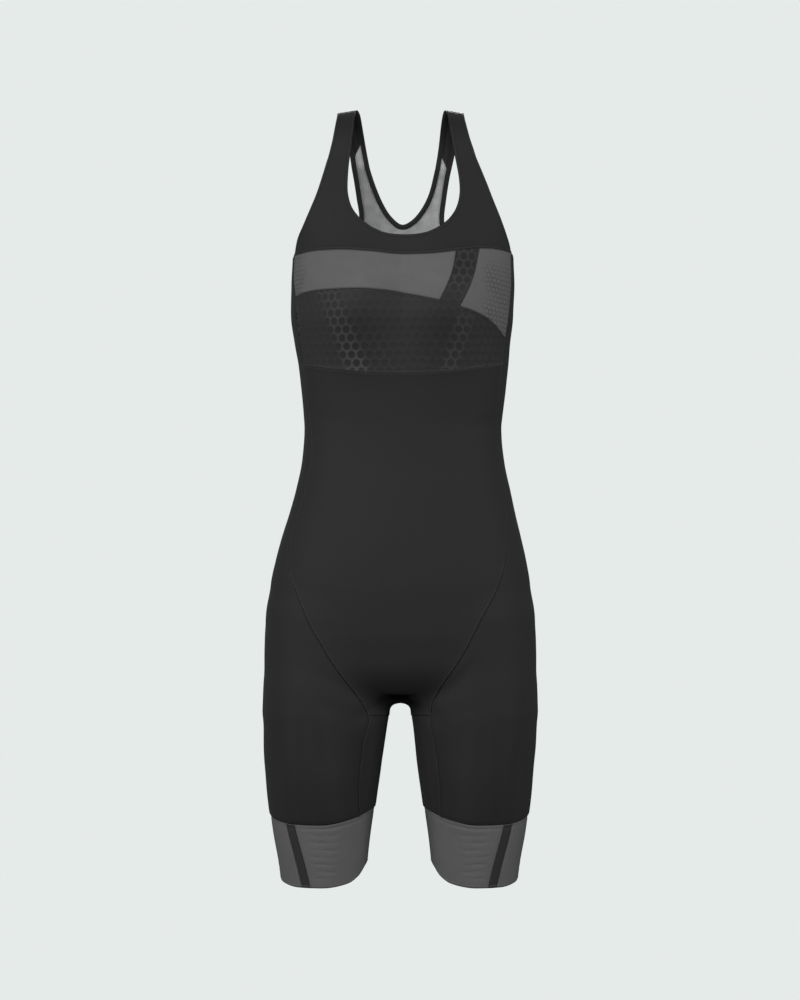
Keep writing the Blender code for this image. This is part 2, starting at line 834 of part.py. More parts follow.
# --- Side and outer leg in one piece, the inner leg, and the cuff with its stripe ---
for side, letter in ((-1, "r"), (1, "l")):
    front_seam, seam_behind = FRONT_SEAMS[side], BACK_SEAMS[side]
    rows = []
    for i in range(LEG_ROWS + 1):
        a, b = front_seam[i], seam_behind[i]
        drop = -(a[2] + b[2]) / 2
        to_leg = np.clip((drop - 520 * MM) / (THIGH_SEAM_DROP - 520 * MM), 0, 1)
        to_leg = to_leg**2 * (3 - 2 * to_leg)
        middle = points(TRUNK.at(drop, "sway"), 0, 0) * (1 - to_leg) + leg_middle(side, drop) * to_leg
        rows.append(across(a, b, middle, side, np.linspace(0, 1, SIDE_COLUMNS + 1)))
    for level in THIGH_LEVELS[1:]:
        front, back = thigh_ways(side, level)
        rows.append(leg_row(side, front, back, level, SIDE_COLUMNS))
    Panel().grid(rows).solid(f"side_leg_{letter}")

    top = np.vstack([CROTCH_EDGES[side, 1], CROTCH_EDGES[side, -1][::-1][1:]])
    inner_rows = [top]
    for level in THIGH_LEVELS[1:]:
        front, back = thigh_ways(side, level)
        inner_rows.append(leg_row(side, back, front + 2 * np.pi, level, 2 * CROTCH_ROWS))
    Panel().grid(inner_rows).solid(f"inner_leg_{letter}")

    # The cuff runs on round the leg from one edge of the stripe to the other
    stripe = []
    for name, x in (("seam", STRIPE_SEAM_X), ("hem", STRIPE_HEM_X)):
        ways = []
        for edge in (x - STRIPE_WIDTH, x):
            level = cuff_drop(0, name)
            for _ in range(6):
                sway = TRUNK.at(level, "sway")
                way = way_round(side, over_shoulder(side * edge + sway, -level))
                level = cuff_drop(way, name)
            ways.append(way)
        stripe.append(ways)
    stripe = np.array(stripe)
    front, back = thigh_ways(side, CUFF_LEVEL)
    ring_ways = np.concatenate(
        [
            np.linspace(front, back, SIDE_COLUMNS + 1)[:-1],
            np.linspace(back, front + 2 * np.pi, 2 * CROTCH_ROWS + 1)[:-1],
        ]
    )
    ring = np.vstack([rows[-1][:-1], inner_rows[-1][:-1]])
    ring_ways, ring = np.concatenate([ring_ways, ring_ways + 2 * np.pi]), np.vstack([ring, ring])
    inside, outside = stripe.T
    for name, first, last in (
        (f"cuff_band_{letter}", outside, inside + 2 * np.pi),
        (f"cuff_stripe_{letter}", inside, outside),
    ):
        within = ring_ways[(ring_ways > first[0] + 0.02) & (ring_ways < last[0] - 0.02)]
        ways = np.concatenate([[first[0]], within, [last[0]]])
        top = np.stack([np.interp(ways, ring_ways, ring[:, i]) for i in range(3)], 1)
        hem_ways = first[1] + (ways - first[0]) * (last[1] - first[1]) / (last[0] - first[0])
        cuff_rows = [top]
        for share in np.linspace(0, 1, CUFF_ROWS + 1)[1:]:
            way = ways + (hem_ways - ways) * share
            drop = -top[:, 2] * (1 - share) + cuff_drop(way, "hem") * share
            cuff_rows.append(leg_point(side, way, drop))
        Panel().grid(cuff_rows).solid(name, CUFF_STEP)

# --- Racer back: from the slanted strap seams, between the armholes, to the back seam ---
right_racer = edge_path(RIGHT_ARMHOLE, RIGHT_STRAP_SEAM["outer"], RACER_FOOT, RACER_COLUMNS)
left_racer = edge_path(LEFT_ARMHOLE, RACER_FOOT, LEFT_STRAP_SEAM["outer"], RACER_COLUMNS)
cross = np.stack(
    [
        right_racer[-1, 0] + (left_racer[0, 0] - right_racer[-1, 0]) * BACK_SHARES,
        np.full(PANEL_COLUMNS + 1, RACER_FOOT),
    ],
    1,
)
racer_outer = np.vstack([right_racer[:-1], cross, left_racer[1:]])
beside = RACER_NECK * (LEFT_NECK_END - RIGHT_NECK_END)
neck_low, neck_high = RIGHT_NECK_END + beside, LEFT_NECK_END - beside
racer_inner = np.vstack(
    [
        table_path(BACK_NECK, RIGHT_NECK_END, neck_low, RACER_COLUMNS)[:-1],
        table_path(BACK_NECK, neck_low, neck_high, PANEL_COLUMNS),
        table_path(BACK_NECK, neck_high, LEFT_NECK_END, RACER_COLUMNS)[1:],
    ]
)
racer_rows = []
for share in np.linspace(0, 1, RACER_ROWS + 1):
    line = racer_outer + (racer_inner - racer_outer) * share
    racer_rows.append(over_shoulder(line[:, 0], line[:, 1]))
racer_rows = np.array(racer_rows)

flare = {}
for side, table in ((-1, RIGHT_ARMHOLE), (1, LEFT_ARMHOLE)):
    start = np.array([table.at(RACER_FOOT, "x"), RACER_FOOT])
    seam = BACK_SEAMS[side][0]
    end = np.array([seam[0], -seam[2]])
    bend = [
        start,
        start + (end - start) * (0.28, 0.42),
        start + (end - start) * (0.63, 0.80),
        end,
    ]
    places = smooth_path(bend, ARMHOLE_ROWS)
    line = over_shoulder(places[:, 0], places[:, 1])
    line[-1] = seam
    flare[side] = np.vstack([line, BACK_SEAMS[side][1 : CHEST_ROWS + 1]])
lower_rows = [racer_rows[0, RACER_COLUMNS : RACER_COLUMNS + PANEL_COLUMNS + 1]]
count = ARMHOLE_ROWS + CHEST_ROWS
for i in range(1, count + 1):
    a, b = flare[-1][i], flare[1][i]
    t = BACK_SHARES
    level = RACER_FOOT + (BACK_SEAM_DROP - RACER_FOOT) * i / count
    ends = -(a[2] + (b[2] - a[2]) * t)
    drop = ends + (level - ends) * (1 - np.abs(2 * t - 1) ** 3)
    sway = TRUNK.at(drop, "sway")
    turn = [np.arctan2(p[0] - sway[0], p[1]) for p in (a, b)]
    turn = turn[0] + (turn[1] - turn[0]) * t
    row = cast(points(sway, 0, -drop), points(np.sin(turn), np.cos(turn), 0))
    row[0], row[-1] = a, b
    lower_rows.append(row)
lower_rows[-1] = back_rows[0][::-1]
racer = Panel().grid(racer_rows).grid(lower_rows)
racer.solid("back_racer")


# --- Bindings: a strip folded over the edge, both plies clear of the cloth inside it ---
def binding(name, edge, inside):
    """A folded strip over a cut edge of the yoke and racer; inside is a place they surround."""
    trees = [BVHTree.FromPolygons(made.places, made.faces) for made in (yoke, racer)]
    long = np.flatnonzero(np.linalg.norm(np.diff(edge, axis=0), axis=1) > BINDING_STEP)
    edge = np.insert(edge, long + 1, (edge[long] + edge[long + 1]) / 2, 0)
    edge[-1] += (edge[-2] - edge[-1]) * 0.5 * MM / np.linalg.norm(edge[-2] - edge[-1])
    along = np.gradient(edge, axis=0)
    normal = outward(edge)
    out = np.cross(along, normal)
    out /= np.linalg.norm(out, axis=1, keepdims=True)
    turn = 1 if np.sum(out * (inside - edge)) > 0 else -1
    out *= turn
    reach = []
    for place in edge - out * BINDING_WIDTH:
        found = [tree.find_nearest(tuple(place)) for tree in trees]
        reach.append(min(found, key=lambda hit: hit[3])[0])
    reach = np.array(reach)
    normal_in = outward(reach)
    near, far = BINDING_GAP, BINDING_GAP + BINDING_PLY
    ring = [
        reach + normal_in * far,
        edge + normal * far + out * far,
        edge - normal * (WALL + far) + out * far,
        reach - normal_in * (WALL + far),
        reach - normal_in * (WALL + near),
        edge - normal * (WALL + near) + out * near,
        edge + normal * near + out * near,
        reach + normal_in * near,
    ]
    places = np.stack(ring, 1).reshape(-1, 3)
    sides, last = len(ring), len(edge) - 1
    faces = []
    for i in range(last):
        for j in range(sides):
            k = (j + 1) % sides
            faces.append([i * sides + j, i * sides + k, (i + 1) * sides + k, (i + 1) * sides + j])
    for base, flip in ((0, 1), (last * sides, -1)):
        for four in ((0, 7, 6, 1), (1, 6, 5, 2), (2, 5, 4, 3)):
            faces.append([base + v for v in four][::flip])
    return add_solid(name, places, [face[::turn] for face in faces])


back = STRAP_BACK_COLUMNS
neck_edge = np.vstack([yoke_rows[-1, back:0:-1], racer_rows[-1], yoke_rows[-1, -2 : -2 - back : -1]])
binding("neck_binding", neck_edge, points(0, 90 * MM, -60 * MM))
for side, letter in ((-1, "r"), (1, "l")):
    order = slice(None) if side < 0 else slice(None, None, -1)
    strap, straight = yoke_rows[0, order], racer_rows[0, order]
    round_arm = flare[side][: ARMHOLE_ROWS + 1]
    edge = [strap[back:0:-1], straight[:RACER_COLUMNS], round_arm]
    binding(f"armhole_binding_{letter}", np.vstack(edge), points(side * 120 * MM, 60 * MM, -90 * MM))
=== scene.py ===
"""Women's sleeveless triathlon suit in charcoal and grey jersey, filled out as it is worn."""

import bpy
import numpy as np
from mathutils.bvhtree import BVHTree
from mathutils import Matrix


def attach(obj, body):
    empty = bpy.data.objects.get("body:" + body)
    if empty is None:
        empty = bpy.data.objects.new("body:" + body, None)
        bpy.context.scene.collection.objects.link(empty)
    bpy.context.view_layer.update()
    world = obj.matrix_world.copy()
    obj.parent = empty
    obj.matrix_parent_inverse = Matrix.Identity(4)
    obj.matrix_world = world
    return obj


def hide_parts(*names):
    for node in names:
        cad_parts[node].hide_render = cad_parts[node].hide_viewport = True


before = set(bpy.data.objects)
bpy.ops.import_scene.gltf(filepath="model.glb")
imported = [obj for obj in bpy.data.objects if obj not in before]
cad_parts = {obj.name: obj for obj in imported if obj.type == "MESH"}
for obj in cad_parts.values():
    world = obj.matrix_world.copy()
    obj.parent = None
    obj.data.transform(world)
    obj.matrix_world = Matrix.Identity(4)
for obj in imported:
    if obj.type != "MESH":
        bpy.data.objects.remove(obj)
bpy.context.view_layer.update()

# Grey chest panels: two pieces of textured grey jersey over the bust, sewn to the yoke above
# and to the honeycomb panel below. Like all the cloth here they are stretched on the general
# form of a wearer, whose sizes come first; a drop is the way down from the shoulders.
MM = 0.001
WALL = 1.2 * MM
SEAM_GAP = 0.05 * MM
FINE = 5


class Table:
    """Rows of sizes in millimetres, read in metres as smooth curves along the first column."""

    def __init__(self, columns, *rows):
        self.names = columns.split()
        self.rows = np.array(rows, float) * MM

    def at(self, place, *names):
        """The named columns at a place on the first column, without overshoot between rows."""
        key = self.rows[:, 0]
        place = np.clip(place, key[0], key[-1])
        i = np.clip(np.searchsorted(key, place, side="right") - 1, 0, len(key) - 2)
        step = np.diff(key)
        t = (place - key[i]) / step[i]
        found = []
        for name in names:
            value = self.rows[:, self.names.index(name)]
            rise = np.diff(value) / step
            before, after = rise[:-1], rise[1:]
            same_way = before * after > 0
            mean = 2 * before * after / np.where(same_way, before + after, 1)
            slope = np.concatenate([[rise[0]], np.where(same_way, mean, 0), [rise[-1]]])
            found.append(
                (1 + 2 * t) * (1 - t) ** 2 * value[i]
                + t * (1 - t) ** 2 * step[i] * slope[i]
                + t**2 * (3 - 2 * t) * value[i + 1]
                + t**2 * (t - 1) * step[i] * slope[i + 1]
            )
        return found[0] if len(found) == 1 else found


TRUNK = Table(
    "drop half_width front back sway",
    (60, 147, 64, 64, 0.6),
    (120, 139, 84, 82, 1.6),
    (170, 129.1, 96, 90, 3.6),
    (205, 130.4, 102, 91, 3.4),
    (240, 129.9, 101, 88, 2.4),
    (272, 126, 96, 83, 2.8),
    (300, 122.4, 91, 78, 4.1),
    (330, 119.1, 86, 73, 4.2),
    (357, 116.2, 83, 69, 3.7),
    (371, 115.1, 82, 68, 3.4),
    (386, 115.7, 82, 69, 3.4),
    (413, 118.7, 83, 73, 3.7),
    (441, 124.7, 86, 80, 3.7),
    (470, 131.8, 89, 88, 2.8),
    (498, 139.6, 92, 97, 1.7),
    (526, 146.5, 94, 106, 1.1),
    (554, 151.6, 95, 114, 0.5),
    (582, 153, 94, 119, 0.4),
    (610, 153, 92, 121, 0.4),
    (640, 150.6, 88, 119, 0.4),
    (715, 150.6, 88, 119, 0.2),
    (760, 150.6, 88, 119, -0.8),
)
SHOULDER_DROP, SHOULDER_RISE = 60 * MM, 62.6 * MM
CROTCH_DROP, CROTCH_DEPTH = 628 * MM, 64 * MM
TRUNK_ROUNDNESS = 2.25
THIGH = Table(
    "drop centre_x centre_y half_width half_depth",
    (600, 84, 8, 69.2, 84),
    (640, 84.9, 7, 72.4, 86),
    (670, 86.2, 5, 74, 87),
    (700, 86.7, 2, 74.4, 86),
    (717, 87.3, 0, 72.5, 84),
    (745, 88.6, -3, 70.2, 80),
    (773, 89.2, -5, 67.2, 77),
    (801, 90, -6, 64, 73),
    (839, 90.2, -7, 58.8, 67),
    (876, 89, -8, 53.4, 62),
    (912, 88, -8, 49.6, 58),
)
THIGH_TOP_DROP, THIGH_TOP_RISE = 600 * MM, 60 * MM
THIGH_ROUNDNESS = 2.15
GROIN_BLEND = 16 * MM
BUST_OUT = 22 * MM
BUST_X, BUST_DROP = 62 * MM, 222 * MM
BUST_HALF_WIDTH, BUST_HALF_HEIGHT = 46 * MM, 58 * MM
TRUNK_REACH, THIGH_REACH = 0.1, 0.075


def ring_share(*shares, roundness):
    """1 on a rounded form whose half sizes divide the distances from its middle."""
    return sum(np.abs(s) ** roundness for s in shares) ** (1 / roundness)


def form(p):
    """About the distance in metres from the skin of the form, negative inside it."""
    y, drop = p[..., 1], -p[..., 2]
    half_width, front, back, sway = TRUNK.at(drop, "half_width", "front", "back", "sway")
    x = np.abs(p[..., 0] - sway)
    bust = BUST_OUT * np.exp(
        -(((x - BUST_X) / BUST_HALF_WIDTH) ** 2) - ((drop - BUST_DROP) / BUST_HALF_HEIGHT) ** 2
    )
    depth = np.where(y < 0, front + bust, back)
    end = np.maximum((SHOULDER_DROP - drop) / SHOULDER_RISE, (drop - CROTCH_DROP) / CROTCH_DEPTH)
    share = ring_share(x / half_width, y / depth, np.maximum(end, 0), roundness=TRUNK_ROUNDNESS)
    trunk = TRUNK_REACH * (share - 1)
    names = ("centre_x", "centre_y", "half_width", "half_depth")
    centre_x, centre_y, thigh_width, thigh_depth = THIGH.at(drop, *names)
    top = np.maximum((THIGH_TOP_DROP - drop) / THIGH_TOP_RISE, 0)
    out, along = (x - centre_x) / thigh_width, (y - centre_y) / thigh_depth
    thigh = THIGH_REACH * (ring_share(out, along, top, roundness=THIGH_ROUNDNESS) - 1)
    blend = np.clip(0.5 + 0.5 * (thigh - trunk) / GROIN_BLEND, 0, 1)
    return thigh + (trunk - thigh) * blend - GROIN_BLEND * blend * (1 - blend)


def points(x, y, z):
    """Places from their x, y and z, each a number or an array."""
    return np.stack(np.broadcast_arrays(x, y, z), -1).astype(float)


def slope_of(p):
    """How fast the distance from the skin grows along x, y and z."""
    step = 0.3 * MM
    return np.stack([(form(p + step * a) - form(p - step * a)) / (2 * step) for a in np.eye(3)], -1)


def outward(p):
    """Unit directions square to the skin."""
    slope = slope_of(p)
    return slope / np.linalg.norm(slope, axis=-1, keepdims=True)


def cast(start, toward, reach=0.26):
    """Where lines from inside the form come out through its skin."""
    toward = toward / np.linalg.norm(toward, axis=-1, keepdims=True)
    near = np.zeros(np.broadcast_shapes(start.shape, toward.shape)[:-1] + (1,))
    far = near + np.asarray(reach)[..., None]
    for _ in range(22):
        middle = (near + far) / 2
        inside = form(start + toward * middle)[..., None] < 0
        near, far = np.where(inside, middle, near), np.where(inside, far, middle)
    return start + toward * near


def settle(p):
    """Points near the skin brought onto it."""
    for _ in range(6):
        slope = slope_of(p)
        p = p - form(p)[..., None] * slope / np.sum(slope**2, -1, keepdims=True)
    return p


def over_shoulder(x, over):
    """Skin points by x and the way over the shoulder: the drop, below zero in front."""
    x, over = np.broadcast_arrays(np.asarray(x, float), np.asarray(over, float))
    turn = np.clip(over / SHOULDER_DROP, -1, 1) * np.pi / 2
    drop = np.maximum(np.abs(over), SHOULDER_DROP)
    return cast(points(x, 0, -drop), points(0, np.sin(turn), np.cos(turn)))


def smooth_path(path, count, shares=None):
    """A smooth line through the given places, cut into equal lengths or at the shares."""
    path = np.asarray(path, float)
    ends = np.vstack([2 * path[0] - path[1], path, 2 * path[-1] - path[-2]])
    t = np.linspace(0, 1, 12, endpoint=False)[:, None]
    a, b, c, d = ends[:-3, None], ends[1:-2, None], ends[2:-1, None], ends[3:, None]
    bend = (2 * a - 5 * b + 4 * c - d) * t**2 + (3 * b - a - 3 * c + d) * t**3
    line = 0.5 * (2 * b + (c - a) * t + bend)
    line = np.vstack([line.reshape(-1, path.shape[1]), path[-1]])
    run = np.concatenate([[0], np.cumsum(np.linalg.norm(np.diff(line, axis=0), axis=1))])
    shares = np.linspace(0, 1, count + 1) if shares is None else shares
    columns = [np.interp(shares * run[-1], run, line[:, i]) for i in range(line.shape[1])]
    return np.stack(columns, 1)


CREASES_IN_FRONT = Table(
    "x drop end_x end_drop half_width depth",
    (-33, 694, -88, 652, 6.5, -1.0),
    (-46, 700, -104, 689, 7.5, -0.7),
    (30, 690, 96, 634, 7, -1.1),
    (44, 699, 92, 694, 6, -0.6),
    (-116, 640, -121, 742, 9, 0.7),
    (-66, 712, -71, 806, 11, 0.6),
    (62, 706, 68, 772, 10, 0.5),
    (112, 668, 108, 798, 12, 0.7),
    (-54, 706, 10, 682, 9, -5.2),
    (-10, 682, 46, 706, 9, -5.2),
    (-38, 685, 30, 685, 8.5, -3.8),
    (-109, 352, -66, 366, 7, -0.6),
    (-113, 381, -84, 379, 5.5, -0.5),
    (113, 362, 78, 374, 6.5, -0.7),
    (-24, 556, -14, 624, 13, -0.5),
    (38, 540, 22, 610, 15, -0.4),
)
CREASES_BEHIND = Table(
    "x drop end_x end_drop half_width depth",
    (-72, 371, 34, 380, 8, -1.1),
    (-30, 402, 76, 396, 9, -0.9),
    (-88, 421, -34, 428, 7, -0.6),
    (-28, 700, -98, 672, 7, -1.2),
    (34, 698, 104, 676, 8, -1.3),
    (-52, 712, -96, 706, 6, -0.6),
    (60, 784, 112, 776, 8, -0.8),
    (-58, 776, -104, 782, 7, -0.9),
    (-70, 800, -112, 797, 6, -0.5),
    (18, 262, 58, 300, 12, -0.6),
)


def line_distance(p, line):
    """Distance of each place from a line, and how far along the line that is, from 0 to 1."""
    near, along = np.full(len(p), 1.0), np.zeros(len(p))
    for i, (a, b) in enumerate(zip(line[:-1], line[1:])):
        share = np.clip((p - a) @ (b - a) / ((b - a) @ (b - a)), 0, 1)
        gap = np.linalg.norm(p - a - share[:, None] * (b - a), axis=1)
        along = np.where(gap < near, (i + share) / (len(line) - 1), along)
        near = np.minimum(near, gap)
    return near, along


def crease_lines():
    """Each soft crease: its line on the form, its half width and how far it stands out."""
    lines = []
    for face, table in ((-1, CREASES_IN_FRONT), (1, CREASES_BEHIND)):
        for x, drop, end_x, end_drop, half_width, depth in table.rows:
            share = np.linspace(0, 1, 9)
            level = drop + (end_drop - drop) * share
            lines.append((over_shoulder(x + (end_x - x) * share, face * level), half_width, depth))
    return lines


CREASES = crease_lines()


def creased(p):
    """How far the cloth lies off the form in its soft creases: ridges above, troughs below."""
    off = np.zeros(len(p))
    for line, half_width, depth in CREASES:
        near, along = line_distance(p, line)
        fade = np.sin(np.pi * np.clip(along, 0.04, 0.96)) ** 0.8
        off += depth * fade * np.exp(-((near / half_width) ** 2))
    return off


def sew_line(table, start, end, count):
    """Skin points along a seam across the chest, between two x."""
    x = np.linspace(start, end, 40)
    return settle(smooth_path(over_shoulder(x, -table.at(x, "drop")), count))


def between(top, foot, rows):
    """Skin points on rows between two seams of the trunk."""
    grid = []
    for share in np.linspace(0, 1, rows + 1):
        sway = TRUNK.at(-top[:, 2], "sway")
        turn = [np.arctan2(line[:, 0] - sway, -line[:, 1]) for line in (top, foot)]
        turn[1] += 2 * np.pi * np.round((turn[0] - turn[1]) / (2 * np.pi))
        turn = turn[0] + (turn[1] - turn[0]) * share
        height = top[:, 2] + (foot[:, 2] - top[:, 2]) * share
        grid.append(cast(points(sway, 0, height), points(np.sin(turn), -np.cos(turn), 0)))
    grid[0], grid[-1] = top, foot
    return np.array(grid)


YOKE_SEAM = Table(
    "x drop",
    (-122.8, 171),
    (-93.7, 169),
    (-70.4, 169.5),
    (-31.7, 172.5),
    (2.7, 175.6),
    (30.6, 175.2),
    (64.5, 171.3),
    (90.2, 167.4),
    (108, 166.6),
    (129, 168),
)
CHEST_SEAM = Table(
    "x drop",
    (-120.8, 221),
    (-113.2, 218),
    (-93, 216),
    (-49.1, 216.1),
    (-14.7, 218.2),
    (11.3, 222.5),
    (45.1, 229.9),
    (66.7, 236.3),
    (80.9, 239.9),
    (95.4, 245.7),
    (108.2, 254.2),
    (121.8, 269),
)
SIDE_SEAMS = {
    -1: Table(
        "drop x",
        (171, -122.8),
        (196, -123.7),
        (221, -120.8),
        (250, -115.6),
        (300, -112.1),
        (339, -107.5),
        (375, -103),
        (400, -102),
        (437, -108.4),
        (478, -120),
        (512, -128.4),
        (533, -128.4),
        (556, -120.6),
        (580, -110.6),
        (602, -100.6),
        (620, -89.6),
        (638, -79),
        (662, -62),
        (686, -43.5),
        (702, -34),
        (730, -42),
        (757, -45.6),
        (788, -47.8),
        (818, -47),
    ),
    1: Table(
        "drop x",
        (168, 129),
        (199, 129.2),
        (246, 125.4),
        (269, 121.8),
        (298, 118.4),
        (339, 115.2),
        (375, 113.6),
        (408, 114.8),
        (430, 119.4),
        (452, 123.2),
        (473, 124),
        (496, 123),
        (520, 121.4),
        (538, 117.6),
        (561, 108.7),
        (589, 93.2),
        (620, 77.5),
        (646, 62),
        (670, 46),
        (702, 32.5),
        (730, 38.8),
        (757, 43.2),
        (788, 46.6),
        (816, 47),
    ),
}
BAND_TOP = (64.5 * MM, 90.2 * MM)
BAND_FOOT = (45.1 * MM, 66.7 * MM)
CHEST_DROPS = {-1: 221 * MM, 1: 269 * MM}
UNDERBUST_DROPS = {-1: 300 * MM, 1: 298 * MM}


def side_seam(side, drop):
    """Skin points of the seam between the front and a side panel."""
    return over_shoulder(SIDE_SEAMS[side].at(drop, "x"), -drop)


def chest_grid(part, columns, rows):
    """Places of one of the three lengths between the yoke seam and the chest seam."""
    corners = [side_seam(side, SIDE_SEAMS[side].rows[0, 0])[0] for side in (-1, 1)]
    feet = [side_seam(side, CHEST_DROPS[side])[0] for side in (-1, 1)]
    tops, foots = [corners[0], *BAND_TOP, corners[1]], [feet[0], *BAND_FOOT, feet[1]]
    top = sew_line(YOKE_SEAM, tops[part], tops[part + 1], columns)
    foot = sew_line(CHEST_SEAM, foots[part], foots[part + 1], columns)
    grid = between(top, foot, rows)
    if part != 1:
        side = part - 1
        drops = np.linspace(SIDE_SEAMS[side].rows[0, 0], CHEST_DROPS[side], rows + 1)
        grid[:, 0 if side < 0 else -1] = side_seam(side, drops)
    return grid


def length_along(rows):
    """How far each place of a grid lies along its row."""
    steps = np.linalg.norm(np.diff(rows, axis=1), axis=2)
    return np.pad(np.cumsum(steps, axis=1), ((0, 0), (1, 0)))


def laid_flat(rows):
    """Places of a grid on its flat cut: across from the middle column, and down."""
    wide, deep = length_along(rows), length_along(rows.swapaxes(0, 1)).T
    return np.stack([wide - wide[:, [rows.shape[1] // 2]], deep], -1)


def tucked(rows):
    """The same grid with one more row of places close to each edge."""
    for _ in range(2):
        first = settle(rows[0] + (rows[1] - rows[0]) * 0.3)
        last = settle(rows[-1] + (rows[-2] - rows[-1]) * 0.3)
        rows = np.concatenate([rows[:1], first[None], rows[1:-1], last[None], rows[-1:]])
        rows = rows.swapaxes(0, 1)
    return rows


def edge_distance(places, rim):
    """Distance of each place from the nearest stretch of the rim."""
    near = np.full(len(places), 1.0)
    for a, b in rim:
        along = places[b] - places[a]
        share = np.clip((places - places[a]) @ along / max(along @ along, 1e-12), 0, 1)
        near = np.minimum(near, np.linalg.norm(places - places[a] - share[:, None] * along, axis=1))
    return near


EDGE_ROLL, LAPPED_ROLL, UNDER_ROLL = 0.45 * MM, -0.3 * MM, 0.85 * MM
EDGE_ROLL_WIDTH = 1.3 * MM
STRETCH = 1.08


class Cut:
    """A cut piece of cloth: grids of places on the form, each with its place on the flat."""

    def __init__(self):
        self.places, self.flat, self.faces, self.known = [], [], [], {}

    def grid(self, rows, flat=None):
        flat = laid_flat(rows) if flat is None else flat
        a, b = rows[1:, :-1] - rows[:-1, :-1], rows[:-1, 1:] - rows[:-1, :-1]
        if np.sum(np.cross(a, b) * outward(rows[:-1, :-1])) < 0:
            rows, flat = rows[:, ::-1], flat[:, ::-1]
        index = []
        keys = np.round(rows / (0.02 * MM)).astype(int).reshape(-1, 3).tolist()
        for key, place, spot in zip(map(tuple, keys), rows.reshape(-1, 3), flat.reshape(-1, 2)):
            if key not in self.known:
                self.known[key] = len(self.places)
                self.places.append(place)
                self.flat.append(spot)
            index.append(self.known[key])
        index = np.array(index).reshape(rows.shape[:2]).tolist()
        for upper, lower in zip(index[:-1], index[1:]):
            for corners in zip(upper[:-1], lower[:-1], lower[1:], upper[1:]):
                corners = list(dict.fromkeys(corners))
                if len(corners) > 2:
                    self.faces.append(corners)
        return self

    def sewn(self, name, sink=0, relief=None, roll=EDGE_ROLL):
        """The cloth as a thin closed wall, its edges a little lower or higher at the seams."""
        p, flat = np.array(self.places), np.array(self.flat)
        normal = outward(p)
        sides = {(a, b) for face in self.faces for a, b in zip(face, face[1:] + face[:1])}
        rim = {a: b for a, b in sides if (b, a) not in sides}
        before = {b: a for a, b in rim.items()}
        moved = p.copy()
        for v, after in rim.items():
            inward = []
            for a, b in ((before[v], v), (v, after)):
                side = np.cross(normal[v], p[b] - p[a])
                inward.append(side / np.linalg.norm(side))
            inward = (inward[0] + inward[1]) / max(1 + inward[0] @ inward[1], 0.3)
            moved[v] = p[v] + inward * SEAM_GAP / 2
        edge = edge_distance(moved, rim.items())
        rolled = roll * np.exp(-((edge / EDGE_ROLL_WIDTH) ** 2))
        raised = 0 if relief is None else relief(flat, edge)
        moved = moved + normal * (creased(moved) - sink)[:, None]
        outer = moved + normal * (raised - rolled)[:, None]
        inner = moved - normal * WALL
        count = len(p)
        made = self.faces + [[v + count for v in face[::-1]] for face in self.faces]
        made += [[b, a, a + count, b + count] for a, b in rim.items()]
        mesh = bpy.data.meshes.new(name)
        mesh.from_pydata(np.vstack([outer, inner]).tolist(), [], made)
        mesh.shade_smooth()
        piece = bpy.data.objects.new(name, mesh)
        bpy.context.scene.collection.objects.link(piece)
        corner = np.empty(len(mesh.loops), int)
        mesh.loops.foreach_get("vertex_index", corner)
        uv = np.vstack([flat, flat])[corner]
        mesh.uv_layers.new(name="cut").uv.foreach_set("vector", uv.ravel())
        for label, values in (
            ("edge", np.concatenate([edge, edge])),
            ("face", np.repeat([1.0, 0.0], count)),
        ):
            mesh.attributes.new(label, "FLOAT", "POINT").data.foreach_set("value", values)
        return piece


def dress(piece, node, material):
    """The piece takes the place of its plain solid, in the given material."""
    piece.data.materials.append(material)
    spots = np.empty(len(piece.data.loops) * 2)
    piece.data.uv_layers["cut"].uv.foreach_get("vector", spots)
    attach(piece, "root")
    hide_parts(node)


class Value:
    """A socket that takes part in sums, which become Math nodes of its tree."""

    def __init__(self, tree, socket):
        self.tree, self.socket = tree, socket

    def math(self, operation, *others, swap=False):
        terms = (self, *others)
        return self.tree.node("ShaderNodeMath", {"operation": operation}, terms[::-1] if swap else terms)

    def __add__(self, other):
        return self.math("ADD", other)

    def __sub__(self, other):
        return self.math("SUBTRACT", other)

    def __rsub__(self, other):
        return self.math("SUBTRACT", other, swap=True)

    def __mul__(self, other):
        return self.math("MULTIPLY", other)

    def __truediv__(self, other):
        return self.math("DIVIDE", other)

    def __pow__(self, other):
        return self.math("POWER", other)

    __radd__, __rmul__ = __add__, __mul__


class Tree:
    """Builds nodes of a shader or of a geometry tree."""

    def __init__(self, nodes, links):
        self.nodes, self.links = nodes, links

    def node(self, kind, settings, inputs, out=0):
        """One node: its settings first, then the values or links of its sockets."""
        made = self.nodes.new(kind)
        for name, value in settings.items():
            setattr(made, name, value)
        pairs = inputs.items() if isinstance(inputs, dict) else enumerate(inputs)
        for key, value in pairs:
            if isinstance(value, Value):
                self.links.new(value.socket, made.inputs[key])
            elif value is not None:
                made.inputs[key].default_value = value
        return Value(self, made.outputs[out])

    def smooth(self, value, low, high):
        """0 below low and 1 above high, smooth between."""
        inputs = {0: value, 1: low, 2: high, 3: 0.0, 4: 1.0}
        return self.node("ShaderNodeMapRange", {"interpolation_type": "SMOOTHSTEP"}, inputs)

    def wave(self, value, length):
        """A wave from -1 to 1 with the given length."""
        return (value * (2 * np.pi / length)).math("COSINE")


def paint(name):
    """A new material, its tree and its shader."""
    material = bpy.data.materials.new(name)
    material.use_nodes = True
    tree = Tree(material.node_tree.nodes, material.node_tree.links)
    return material, tree, material.node_tree.nodes["Principled BSDF"]


WALE, COURSE = 1.1 * MM, 0.9 * MM


